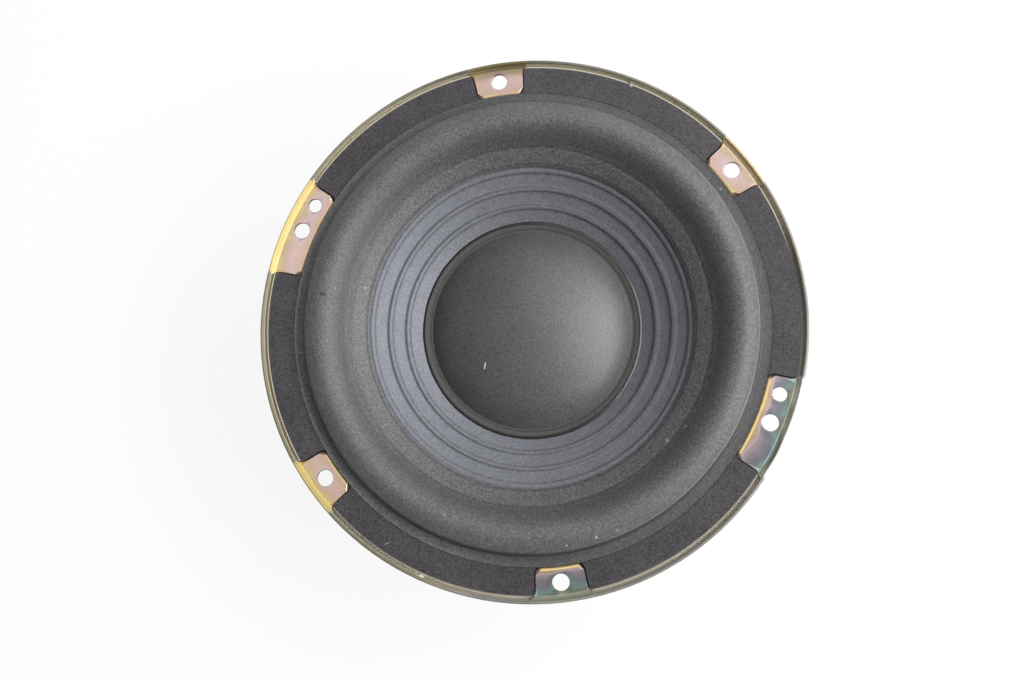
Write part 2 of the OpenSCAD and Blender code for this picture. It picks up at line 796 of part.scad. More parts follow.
// a tube of round section swept along a route; its rings stay square to the route
module tube(route, d, sides) {
    n = len(route);
    rings = [for (i = [0:n - 1])
        let (t = unit(route[min(i + 1, n - 1)] - route[max(i - 1, 0)]))
        let (u = unit([1, 0, 0] - t[0] * t), v = cross(t, u))
        [for (k = [0:sides - 1]) route[i] + d / 2 * (cos(360 * k / sides) * u + sin(360 * k / sides) * v)]];
    walls = [for (i = [0:n - 2]) for (k = [0:sides - 1])
        [i * sides + k, (i + 1) * sides + k, (i + 1) * sides + (k + 1) % sides, i * sides + (k + 1) % sides]];
    polyhedron(points = [for (ring = rings) each ring],
        faces = concat([[for (k = [0:sides - 1]) k]], walls, [[for (k = [sides - 1:-1:0]) (n - 1) * sides + k]]));
}

module tinsel_lead(s) {
    color("#9a7b5a")
        tube([for (p = lead_route) [s * p[0], p[1], p[2]]], lead_d, lead_sides);
}

basket();
gasket_segment(0);  // gasket_segment_1
gasket_segment(1);  // gasket_segment_2
gasket_segment(2);  // gasket_segment_3
gasket_segment(3);  // gasket_segment_4
gasket_segment(4);  // gasket_segment_5
gasket_segment(5);  // gasket_segment_6
surround();
cone();
dust_cap();
voice_coil_former();
voice_coil_winding();
spider();
top_plate();
magnet();
t_yoke();
basket_rivets();
terminal_board();
terminal_tag(1);  // terminal_tag_positive
terminal_tag(-1);  // terminal_tag_negative
terminal_rivets();
board_rivets();
tinsel_lead(1);  // tinsel_lead_positive
tinsel_lead(-1);  // tinsel_lead_negative
lead_eyelets();
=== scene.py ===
import math

import bmesh
import bpy
from mathutils import Matrix, Vector, noise
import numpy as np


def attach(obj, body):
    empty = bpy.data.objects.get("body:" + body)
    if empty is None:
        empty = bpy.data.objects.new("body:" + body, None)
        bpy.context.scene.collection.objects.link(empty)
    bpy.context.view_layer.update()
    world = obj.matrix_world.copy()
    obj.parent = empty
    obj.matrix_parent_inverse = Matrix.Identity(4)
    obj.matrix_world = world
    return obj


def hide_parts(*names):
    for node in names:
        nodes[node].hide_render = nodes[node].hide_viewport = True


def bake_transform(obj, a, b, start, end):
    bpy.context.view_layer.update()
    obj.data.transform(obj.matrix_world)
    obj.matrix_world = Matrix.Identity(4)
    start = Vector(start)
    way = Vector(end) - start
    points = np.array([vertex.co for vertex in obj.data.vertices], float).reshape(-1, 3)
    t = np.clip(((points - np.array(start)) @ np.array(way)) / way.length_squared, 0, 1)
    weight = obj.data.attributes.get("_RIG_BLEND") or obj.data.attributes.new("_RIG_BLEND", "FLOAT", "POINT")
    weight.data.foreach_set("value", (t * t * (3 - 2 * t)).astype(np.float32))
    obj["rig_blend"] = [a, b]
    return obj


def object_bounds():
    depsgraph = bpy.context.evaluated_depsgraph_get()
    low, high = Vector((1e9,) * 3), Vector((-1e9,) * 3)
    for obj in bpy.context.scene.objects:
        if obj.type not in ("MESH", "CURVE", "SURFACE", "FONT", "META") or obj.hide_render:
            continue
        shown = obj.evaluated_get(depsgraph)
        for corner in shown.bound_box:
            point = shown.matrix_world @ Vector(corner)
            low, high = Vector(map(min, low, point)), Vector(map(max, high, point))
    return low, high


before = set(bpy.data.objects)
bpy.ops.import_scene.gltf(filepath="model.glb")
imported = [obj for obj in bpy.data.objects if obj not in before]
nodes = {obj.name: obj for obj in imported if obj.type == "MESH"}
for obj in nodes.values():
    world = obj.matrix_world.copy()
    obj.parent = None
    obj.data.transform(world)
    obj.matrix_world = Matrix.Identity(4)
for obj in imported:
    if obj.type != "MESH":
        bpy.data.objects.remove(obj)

cad_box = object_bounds()
scene = bpy.context.scene
MM = 0.001

# Sizes are in millimetres, measured from the axis and from the underside of the screw pads.

# The basket's flange, with its screw pads, their holes, and the trench beside the gaskets
FLANGE_R = 82.5
RIM_Z = 2.3
SEAT_Z = -0.7
PAD_IN_R = 72.05
PAD_Z = 1.0
PAD_SPACING = 60.0
SINGLE_PAD_W = 14.8
WIDE_PAD_W = 27.8
HOLE_CIRCLE_R = 76.75
HOLE_R = 2.5
EXTRA_HOLE_X = 76.25
EXTRA_HOLE_Y = 8.79
EXTRA_HOLE_R = 2.15
GASKET_OUT_R = 80.4
TRENCH_IN_R = 80.1
TRENCH_MID_R = 80.9
TRENCH_OUT_R = 81.75

# The foam's outer lip on the seat, turned up a little along its edge
LIP_OUT_R = 71.75
LIP_LAP = 0.27
LIP_STEP = 0.45
LIP_POINTS = 7
LIP_Z = 1.15
LIP_RISE = 0.1
LIP_TURN = 1.2
LIP_TURN_W = 1.4
LIP_IN_R = 68.2
LIP_FADE = 0.8

# The foam's roll, with its middle line from the outer root over the crown to the inner root
ROLL_OUT_R = 67.95
ROLL_IN_R = 55.35
ROLL_LINE = (
    (68.9, 1.15), (68.3, 1.6), (68.0, 2.9), (67.8, 4.6), (67.3, 5.75), (66.4, 6.45),
    (64.9, 7.2), (63.4, 7.6), (62.0, 7.5), (60.7, 7.05), (59.4, 6.25), (58.1, 5.2),
    (56.9, 4.1), (55.9, 3.25), (55.0, 2.75),
)
SHOULDER_R = 67.7
FOAM_T = 1.0
GROOVE_R = 54.5
GROOVE_W = 0.4
GROOVE_DEPTH = 0.16

# The foam's inner lip, glued on the cone and thinner towards its edge
INNER_LIP = 5.25
INNER_LIP_STEPS = 14
INNER_LIP_LIFT = 0.3
INNER_LIP_GLUE = 0.24
INNER_LIP_FADE = 0.8
THIN_EDGE_R = 50.4
THIN_EDGE_W = 0.9
THIN_EDGE = 0.35

# The cone, with its two inner ring beads, and the dust cap
CONE_SLOPE = math.radians(29.2)
CONE_OUT_R = 54.85
CONE_EDGE_Z = 1.8
BEAD_RADII = (43.43, 38.47)
CAP_R = 31.6
CAP_OUT_R = 33.5
CAP_SHOULDER_R = 23.5
CAP_SHOULDER = 0.014

# The spider, with its collar up the coil former
FORMER_R = 17.85
SPIDER_Z = -25.05
SPIDER_R = 50.5
SPIDER_FLAT_R = 46.5
CLOTH_T = 0.6
COLLAR_H = 1.6
WAVES = 6
WAVE_STEPS = 14
WAVE_H = 1.3
THREAD_W = 0.75

# The voice coil's winding
WINDING_R = 18.9
WINDING_LOW_Z = -50.05
WINDING_TOP_Z = -32.05
WIRE_D = 0.4
WIRE_STEPS = 5

# The positive lead, from the cone's eyelet to its terminal tag. The negative one mirrors it.
LEAD_D = 1.4
LEAD_CORE_D = 1.008
STRAND_D = 0.4
STRANDS = 8
STRAND_PITCH = 5.0
LEAD_ROUTE = (
    (6.3, -27.3, -15.5), (6.5, -28.2, -17.1), (6.9, -29.7, -18.6), (7.5, -31.8, -19.7),
    (8.2, -34.4, -20.3), (9, -37.3, -20.4), (9.7, -40.2, -20), (10.3, -43, -19.1),
    (10.8, -45.8, -18), (11.1, -48.5, -16.9), (11.4, -51, -16.1), (11.5, -53.3, -15.8),
    (11.5, -55.2, -15.9), (11.5, -56.8, -16.6), (11.5, -58.1, -17.6),
)

# The photograph's camera
CAMERA_PLACE = (43.78, -38.61, 335.15)
CAMERA_BACK = (0.13755, -0.09466, 0.98596)
CAMERA_UP = (-0.37778, 0.91516, 0.14056)
CAMERA_LENS = 39.63
SENSOR_W = 36

# The floor, just below the driver's back. The back's height is in metres.
FLOOR_GAP = 0.02
BACK_Z = cad_box[0].z


# Camera and light

def place_camera():
    """The photograph's camera, almost straight above the driver and a little to one side."""
    back = Vector(CAMERA_BACK).normalized()
    right = Vector(CAMERA_UP).cross(back).normalized()
    up = back.cross(right)
    data = bpy.data.cameras.new("camera")
    data.lens = CAMERA_LENS
    data.sensor_width = SENSOR_W
    data.clip_start = 0.01
    camera = bpy.data.objects.new("camera", data)
    turned = Matrix((right, up, back)).transposed().to_4x4()
    camera.matrix_world = Matrix.Translation(Vector(CAMERA_PLACE) * MM) @ turned
    scene.collection.objects.link(camera)
    scene.camera = camera


def softbox(name, azimuth, elevation, away, width, height, power):
    """An area lamp aimed at the driver, azimuth from +X towards +Y. Sizes are in metres."""
    a, e = math.radians(azimuth), math.radians(elevation)
    direction = Vector((math.cos(a) * math.cos(e), math.sin(a) * math.cos(e), math.sin(e)))
    data = bpy.data.lights.new(name, "AREA")
    data.shape = "RECTANGLE"
    data.size = width
    data.size_y = height
    data.energy = power
    lamp = bpy.data.objects.new(name, data)
    lamp.location = direction * away
    lamp.rotation_euler = direction.to_track_quat("Z", "Y").to_euler()
    scene.collection.objects.link(lamp)


# Shader helpers

def give(tree, node, inputs):
    """Sets the node's inputs, or links those that are given as sockets."""
    for key, value in inputs.items():
        if isinstance(value, bpy.types.NodeSocket):
            tree.links.new(value, node.inputs[key])
        else:
            node.inputs[key].default_value = value


def put(tree, kind, inputs=None, **settings):
    """Adds a node with these inputs and settings."""
    node = tree.nodes.new("ShaderNode" + kind)
    for key, value in settings.items():
        setattr(node, key, value)
    give(tree, node, inputs or {})
    return node


def calc(tree, operation, a, b=0.0, c=0.0):
    """A Math node's result. Each operand is a number or a socket."""
    return put(tree, "Math", {0: a, 1: b, 2: c}, operation=operation).outputs[0]


def product(tree, first, *others):
    """The values multiplied. For masks, this is where all of them are."""
    for other in others:
        first = calc(tree, "MULTIPLY", first, other)
    return first


def largest(tree, first, *others):
    """The largest of the values. For masks, this is where any of them is."""
    for other in others:
        first = calc(tree, "MAXIMUM", first, other)
    return first


def colour(red, green, blue):
    """A colour as it shows on a screen, from 0 to 255, in Blender's linear values."""
    shares = [value / 255 for value in (red, green, blue)]
    return (*[((share + 0.055) / 1.055) ** 2.4 for share in shares], 1.0)


def ramp(tree, factor, stops):
    """A colour ramp. Each stop is a position and a colour, or a position and a grey value."""
    node = put(tree, "ValToRGB", {0: factor})
    marks = node.color_ramp.elements
    while len(marks) < len(stops):
        marks.new(1.0)
    for mark, (position, value) in zip(marks, stops):
        mark.position = position
        mark.color = value if hasattr(value, "__len__") else (value, value, value, 1.0)
    return node.outputs[0]


def blend_colours(tree, factor, a, b, mode="MIX"):
    """From colour a, where the factor is 0, to b, where it is 1, or to a multiplied by b."""
    node = put(tree, "Mix", {0: factor, 6: a, 7: b}, data_type="RGBA", blend_type=mode)
    return node.outputs[2]


def between(tree, value, low, high):
    """0 where the value is below low, and 1 above high. If low is the larger one, it is the other
    way round: 1 where the value is below high, and 0 above low."""
    limits = {"Value": value, "From Min": low, "From Max": high}
    return put(tree, "MapRange", limits, interpolation_type="SMOOTHSTEP").outputs[0]


def level(tree, mask, low, high):
    """From low, where the mask is 0, to high, where it is 1."""
    return put(tree, "MapRange", {"Value": mask, "To Min": low, "To Max": high}).outputs[0]


def flat_distance(tree, x, y):
    """Length of the line whose ends are x and y apart."""
    return calc(tree, "SQRT", calc(tree, "ADD", product(tree, x, x), product(tree, y, y)))


def off_from(tree, value, middle):
    """How far the value is from the middle, on either side of it."""
    return calc(tree, "ABSOLUTE", calc(tree, "SUBTRACT", value, middle))


def facing(tree, azimuth, degrees):
    """1 on the side of the driver at that azimuth, down to -1 on the side across from it."""
    return calc(tree, "COSINE", calc(tree, "RADIANS", calc(tree, "SUBTRACT", azimuth, degrees)))


def cloud(tree, point, size, detail=3.0, roughness=0.55):
    """Noise whose blotches are about that size in millimetres."""
    given = {"Vector": point, "Scale": 1 / size, "Detail": detail, "Roughness": roughness}
    return put(tree, "TexNoise", given).outputs[0]


def new_group(name, inputs, outputs):
    """A shader node group with named sockets: pairs of a name and a kind of socket."""
    group = bpy.data.node_groups.new(name, "ShaderNodeTree")
    for socket, kind in inputs:
        group.interface.new_socket(socket, in_out="INPUT", socket_type="NodeSocket" + kind)
    for socket, kind in outputs:
        group.interface.new_socket(socket, in_out="OUTPUT", socket_type="NodeSocket" + kind)
    return group, group.nodes.new("NodeGroupInput"), group.nodes.new("NodeGroupOutput")


def use(tree, group, **inputs):
    """Places a group and returns its node."""
    node = tree.nodes.new("ShaderNodeGroup")
    node.node_tree = group
    give(tree, node, inputs)
    return node


def polar_group():
    """Distance from the axis, azimuth in degrees and height, from a point in millimetres."""
    group, given, result = new_group(
        "Round the axis", [("Point", "Vector")],
        [("Radius", "Float"), ("Azimuth", "Float"), ("Height", "Float")])
    x, y, z = put(group, "SeparateXYZ", {0: given.outputs[0]}).outputs
    turn = calc(group, "DEGREES", calc(group, "ARCTAN2", y, x))
    azimuth = calc(group, "FLOORED_MODULO", turn, 360.0)
    give(group, result, {0: flat_distance(group, x, y), 1: azimuth, 2: z})
    return group


def grain_group():
    """A fine even grain: a mask of lighter and darker specks, and its height."""
    group, given, result = new_group(
        "Grain", [("Point", "Vector"), ("Size", "Float")], [("Mask", "Float"), ("Height", "Float")])
    point, size = given.outputs[:2]
    scale = calc(group, "DIVIDE", 1.0, size)
    fine = put(group, "TexNoise", {"Vector": point, "Scale": scale, "Detail": 2.0, "Roughness": 0.7})
    cells = put(group, "TexVoronoi", {"Vector": point, "Scale": scale}, feature="SMOOTH_F1")
    height = calc(group, "MULTIPLY_ADD", cells.outputs[0], -0.6, fine.outputs[0])
    give(group, result, {0: between(group, fine.outputs[0], 0.3, 0.7), 1: height})
    return group


def specks_group():
    """Sparse specks of lint and dust: 1 on a speck and 0 elsewhere."""
    group, given, result = new_group(
        "Specks", [("Point", "Vector"), ("Spacing", "Float"), ("Amount", "Float")], [("Mask", "Float")])
    point, spacing, amount = given.outputs[:3]
    cells = put(group, "TexVoronoi", {"Vector": point, "Scale": calc(group, "DIVIDE", 1.0, spacing)})
    chosen = put(group, "SeparateColor", {0: cells.outputs[1]})
    lucky = calc(group, "LESS_THAN", chosen.outputs[0], amount)
    near = between(group, cells.outputs[0], 0.2, 0.08)
    give(group, result, {0: product(group, lucky, near)})
    return group


def speckle_group():
    """A colour made lighter and darker by the grain, by that share of itself."""
    group, given, result = new_group(
        "Speckled", [("Color", "Color"), ("Point", "Vector"), ("Size", "Float"), ("Amount", "Float")],
        [("Color", "Color"), ("Height", "Float")])
    plain, point, size, amount = given.outputs[:4]
    grain = use(group, GRAIN, Point=point, Size=size)
    swing = calc(group, "MULTIPLY_ADD", grain.outputs["Mask"], 2.0, -1.0)
    share = calc(group, "MULTIPLY_ADD", swing, amount, 1.0)
    shaded = put(group, "VectorMath", {0: plain, "Scale": share}, operation="SCALE")
    give(group, result, {0: shaded.outputs[0], 1: grain.outputs["Height"]})
    return group


def fleck_group():
    """One fleck or smear on a flat stretch: 1 on an oval at Place, turned by Turn degrees."""
    group, given, result = new_group(
        "Fleck", [("Point", "Vector"), ("Place", "Vector"), ("Turn", "Float"), ("Size", "Vector")],
        [("Mask", "Float")])
    point, place, turn, size = given.outputs[:4]
    moved = put(group, "VectorMath", {0: point, 1: place}, operation="SUBTRACT").outputs[0]
    flat = put(group, "VectorMath", {0: moved, 1: (1, 1, 0)}, operation="MULTIPLY").outputs[0]
    wander = put(group, "TexNoise", {"Vector": point, "Scale": 1.5}).outputs[1]
    bent = put(group, "VectorMath", {0: wander, 1: (0.5, 0.5, 0.5), 2: flat}, operation="MULTIPLY_ADD")
    angle = calc(group, "RADIANS", product(group, turn, -1.0))
    turned = put(group, "VectorRotate", {"Vector": bent.outputs[0], "Angle": angle}, rotation_type="Z_AXIS")
    scaled = put(group, "VectorMath", {0: turned.outputs[0], 1: size}, operation="DIVIDE").outputs[0]
    spread = put(group, "VectorMath", {0: scaled}, operation="LENGTH").outputs["Value"]
    give(group, result, {0: between(group, spread, 0.55, 0.35)})
    return group


POLAR = polar_group()
GRAIN = grain_group()
SPECKS = specks_group()
SPECKLED = speckle_group()
FLECK = fleck_group()


def new_material(name):
    """A material with its Principled shader, and the point on the piece in millimetres."""
    material = bpy.data.materials.new(name)
    material.use_nodes = True
    tree = material.node_tree
    shader = tree.nodes["Principled BSDF"]
    metres = put(tree, "TexCoord").outputs["Object"]
    point = put(tree, "VectorMath", {0: metres, "Scale": 1 / MM}, operation="SCALE")
    return material, tree, shader, point.outputs[0]


def bump(tree, height, strength, depth, normal=None):
    """A bump whose height of 1 is that depth in millimetres."""
    given = {"Height": height, "Strength": strength, "Distance": depth * MM}
    if normal is not None:
        given["Normal"] = normal
    return put(tree, "Bump", given).outputs[0]


# Materials

def marked(tree, point, body, marks):
    """The colour with its flecks. A mark is x, y, turn, length, width and colour."""
    for x, y, turn, length, width, shade in marks:
        fleck = use(tree, FLECK, Point=point, Place=(x, y, 0.0), Turn=turn, Size=(length, width, 1.0))
        body = blend_colours(tree, fleck.outputs[0], body, shade)
    return body


def foam_material():
    """Surround foam: grey and open grained, with painted shade at its inner root, and darker on its outer
    lip.
    """
    material, tree, shader, point = new_material("surround foam")
    radius, azimuth, _ = use(tree, POLAR, Point=point).outputs
    across = put(tree, "MapRange", {"Value": radius, "From Min": 49.0, "From Max": 72.0}).outputs[0]
    # Painted shade: the ramp darkens the foam down the roll's inner flank into the groove at its root
    body = ramp(tree, across, [
        (0.0, colour(84, 84, 84)), (0.2, colour(83, 83, 83)), (0.225, colour(74, 74, 74)),
        (0.24, colour(60, 60, 60)), (0.262, colour(64, 64, 64)), (0.32, colour(70, 70, 71)),
        (0.45, colour(82, 83, 85)), (0.54, colour(90, 91, 93)), (0.8, colour(90, 91, 93)),
        (0.82, colour(82, 83, 84)), (0.86, colour(70, 70, 70)), (1.0, colour(69, 69, 69))])
    blotches = cloud(tree, point, 9.0)
    blotched = product(tree, between(tree, blotches, 0.35, 0.7), 0.4)
    body = blend_colours(tree, blotched, body, colour(78, 79, 80))

    # Its coarse grain has a finer one over it, which is stronger on the inner lip
    body = use(tree, SPECKLED, Color=body, Point=point, Size=0.9, Amount=0.22).outputs[0]
    on_inner_lip = between(tree, radius, 56.0, 54.5)
    amount = level(tree, on_inner_lip, 0.4, 0.6)
    speckled = use(tree, SPECKLED, Color=body, Point=point, Size=0.4, Amount=amount)
    dust = use(tree, SPECKS, Point=point, Spacing=3.4, Amount=0.05)
    dusty = product(tree, dust.outputs[0], 0.4)
    body = blend_colours(tree, dusty, speckled.outputs[0], colour(180, 180, 176))

    # Painted light: the outer lip is lightened on the left, where the roll shades it, and a painted highlight
    # line runs along the roll's right shoulder
    left_lip_painted_light = product(
        tree, between(tree, facing(tree, azimuth, 215.0), 0.1, 0.9), between(tree, radius, 68.8, 69.4))
    body = blend_colours(tree, left_lip_painted_light, body, (2.1, 2.1, 2.1, 1), "MULTIPLY")
    on_shoulder = between(tree, off_from(tree, radius, SHOULDER_R), 0.3, 0.05)
    on_right = between(tree, facing(tree, azimuth, 15.0), 0.1, 0.8)
    line = product(tree, on_shoulder, on_right, 0.3)
    body = blend_colours(tree, line, body, colour(168, 168, 166))
    pale, dark = colour(190, 190, 186), colour(46, 46, 48)
    body = marked(tree, point, body, [
        (43.2, -50.1, 20, 0.9, 0.6, pale), (36.2, -55.6, 70, 0.8, 0.5, pale),
        (-59.8, -15.9, 15, 2.6, 1.4, dark)])
    on_inner_flank = between(tree, radius, 61.0, 57.5)
    coarse = bump(tree, blotches, 0.25, 0.3)
    give(tree, shader, {
        "Base Color": body, "Roughness": level(tree, on_inner_flank, 0.53, 0.47),
        "Specular IOR Level": 0.52, "Normal": bump(tree, speckled.outputs["Height"], 0.6, 0.14, coarse)})
    return material


def paper_material():
    """Cone paper: blue grey and felted, with a slight sheen and a painted shade line at two beads."""
    material, tree, shader, point = new_material("cone paper")
    radius = use(tree, POLAR, Point=point).outputs["Radius"]
    fibres = cloud(tree, point, 3.0, 5.0, 0.7)
    body = blend_colours(tree, between(tree, fibres, 0.3, 0.7), colour(95, 96, 101), colour(103, 104, 110))
    # Painted shade: a dark, rougher line beside each of the two inner beads
    bead_shade_lines = [between(tree, off_from(tree, radius, bead_r + 0.45), 0.6, 0.1) for bead_r in BEAD_RADII]
    lines = largest(tree, *bead_shade_lines)
    body = blend_colours(tree, product(tree, lines, 0.5), body, colour(54, 55, 60))
    speckled = use(tree, SPECKLED, Color=body, Point=point, Size=0.5, Amount=0.34)
    soft_beads = put(tree, "Bevel", {"Radius": 1.0 * MM}, samples=8).outputs[0]
    give(tree, shader, {
        "Base Color": speckled.outputs[0], "Roughness": level(tree, lines, 0.54, 0.9),
        "Specular IOR Level": 0.85, "Specular Tint": (0.86, 0.89, 1.0, 1.0),
        "Normal": bump(tree, speckled.outputs["Height"], 0.4, 0.1, soft_beads)})
    return material


def cap_material():
    """Dust cap paper: dark, fine grained, with a bit of lint on it. Towards its foot: brown tint and painted
    shade.
    """
    material, tree, shader, point = new_material("cap paper")
    radius = use(tree, POLAR, Point=point).outputs["Radius"]
    tint = cloud(tree, point, 14.0)
    body = blend_colours(tree, between(tree, tint, 0.35, 0.65), colour(73, 73, 72), colour(67, 69, 67))
    # Towards the foot the paper is browner and darker: partly its brown tint, partly painted shade for the
    # dome's fall-off
    outwards = product(tree, between(tree, radius, CAP_R - 6.0, CAP_R), 0.7)
    body = blend_colours(tree, outwards, body, colour(62, 56, 52))
    on_flange = between(tree, radius, CAP_R + 0.3, CAP_R + 0.6)
    body = blend_colours(tree, on_flange, body, colour(58, 56, 55))
    # Painted shade: a dark line in the crease at the dome's foot
    foot_crease_shade = between(tree, off_from(tree, radius, CAP_R + 0.1), 0.5, 0.25)
    body = blend_colours(tree, foot_crease_shade, body, colour(40, 38, 37))
    speckled = use(tree, SPECKLED, Color=body, Point=point, Size=0.5, Amount=0.45)
    lint = colour(225, 225, 220)
    body = marked(tree, point, speckled.outputs[0], [(-7.9, -16.2, 105, 2.8, 0.55, lint)])
    by_foot = between(tree, radius, CAP_R - 5.0, CAP_R - 1.0)

    # The dome falls away a little faster outside its shoulder
    on_dome = calc(tree, "MINIMUM", radius, CAP_R)
    past_shoulder = largest(tree, calc(tree, "SUBTRACT", on_dome, CAP_SHOULDER_R), 0.0)
    drop = product(tree, past_shoulder, past_shoulder, -CAP_SHOULDER)
    shoulder = bump(tree, drop, 1.0, 1.0)
    give(tree, shader, {
        "Base Color": body, "Roughness": level(tree, by_foot, 0.52, 0.8),
        "Specular IOR Level": 0.9, "Normal": bump(tree, speckled.outputs["Height"], 0.45, 0.1, shoulder)})
    return material


def gasket_material():
    """Gasket sheet: charcoal with a fine grain, a mark or two, and a painted highlight along its cut outer
    edge.
    """
    material, tree, shader, point = new_material("gasket sheet")
    radius, azimuth, _ = use(tree, POLAR, Point=point).outputs
    tint = cloud(tree, point, 18.0)
    body = blend_colours(tree, between(tree, tint, 0.35, 0.65), colour(60, 58, 61), colour(67, 65, 67))
    speckled = use(tree, SPECKLED, Color=body, Point=point, Size=0.5, Amount=0.5)
    rubbed, dark = colour(118, 117, 118), colour(40, 38, 40)
    body = marked(tree, point, speckled.outputs[0], [
        (-12.9, -76.3, 40, 2.2, 0.5, rubbed), (-58.9, 52.3, 130, 1.6, 0.6, dark)])
    # Painted highlight: a pale line on the cut outer edge, left off on the right and weaker at the bottom
    at_edge = between(tree, radius, GASKET_OUT_R - 0.42, GASKET_OUT_R - 0.22)
    off_right = between(tree, facing(tree, azimuth, 20.0), 0.97, 0.88)
    at_bottom = between(tree, facing(tree, azimuth, 293.0), 0.4, 0.8)
    edge_highlight = product(tree, at_edge, off_right, level(tree, at_bottom, 1.0, 0.4))
    body = blend_colours(tree, edge_highlight, body, colour(184, 178, 160))
    give(tree, shader, {
        "Base Color": body, "Roughness": 0.33, "Specular IOR Level": 0.4,
        "Normal": bump(tree, speckled.outputs["Height"], 0.4, 0.07)})
    return material


def plating_film_group():
    """The colours that a chromate film runs through as it grows thicker, from straw to grey."""
    group, given, result = new_group("Chromate film", [("Thickness", "Float")], [("Color", "Color")])
    shades = ramp(group, given.outputs[0], [
        (0.0, colour(246, 236, 186)), (0.1, colour(246, 224, 160)), (0.2, colour(234, 206, 168)),
        (0.32, colour(238, 206, 188)), (0.45, colour(242, 214, 208)), (0.52, colour(218, 200, 208)),
        (0.6, colour(174, 164, 174)), (0.68, colour(156, 160, 168)), (0.76, colour(156, 184, 178)),
        (0.84, colour(150, 158, 146)), (0.9, colour(166, 164, 144)), (1.0, colour(224, 224, 218))])
    give(group, result, {0: shades})
    return group


def pad_film(tree, radius, azimuth, swirl, wide):
    """Thickness of the film on the pads. On most of them it is thickest about the middle, and thin
    and yellow at the rim. On the two at the lower right it grows all the way to the rim."""
    wander = product(tree, calc(tree, "SUBTRACT", swirl, 0.5), 0.5)
    across = calc(tree, "DIVIDE", calc(tree, "SUBTRACT", radius, PAD_IN_R), FLANGE_R - PAD_IN_R)
    across = calc(tree, "ADD", across, wander)
    warm = ramp(tree, across, [
        (0.0, 0.14), (0.14, 0.3), (0.4, 0.45), (0.58, 0.34), (0.72, 0.2), (0.86, 0.09), (1.0, 0.04)])
    warm = product(tree, warm, level(tree, wide, 0.85, 1.0))
    cool = ramp(tree, across, [
        (0.0, 0.1), (0.13, 0.16), (0.24, 0.54), (0.45, 0.62), (0.6, 0.7), (0.7, 0.77), (0.78, 0.86),
        (0.88, 1.0)])
    at_bottom = between(tree, facing(tree, azimuth, 300.0), 0.6, 0.9)
    cool = calc(tree, "MINIMUM", cool, level(tree, at_bottom, 1.0, 0.87))
    lower_right = between(tree, facing(tree, azimuth, -25.0), 0.45, 0.7)
    return level(tree, lower_right, warm, cool)


def off_nearest_hole(tree, off_middle, radius, x, y):
    """Distance to the edge of the nearest hole: on the hole circle, or beside it on a wide pad."""
    from_main = flat_distance(tree, off_middle, calc(tree, "SUBTRACT", radius, HOLE_CIRCLE_R))
    from_extra = flat_distance(
        tree, calc(tree, "SUBTRACT", calc(tree, "ABSOLUTE", x), EXTRA_HOLE_X),
        calc(tree, "SUBTRACT", y, EXTRA_HOLE_Y))
    return calc(tree, "MINIMUM", calc(tree, "SUBTRACT", from_main, HOLE_R),
                calc(tree, "SUBTRACT", from_extra, EXTRA_HOLE_R))


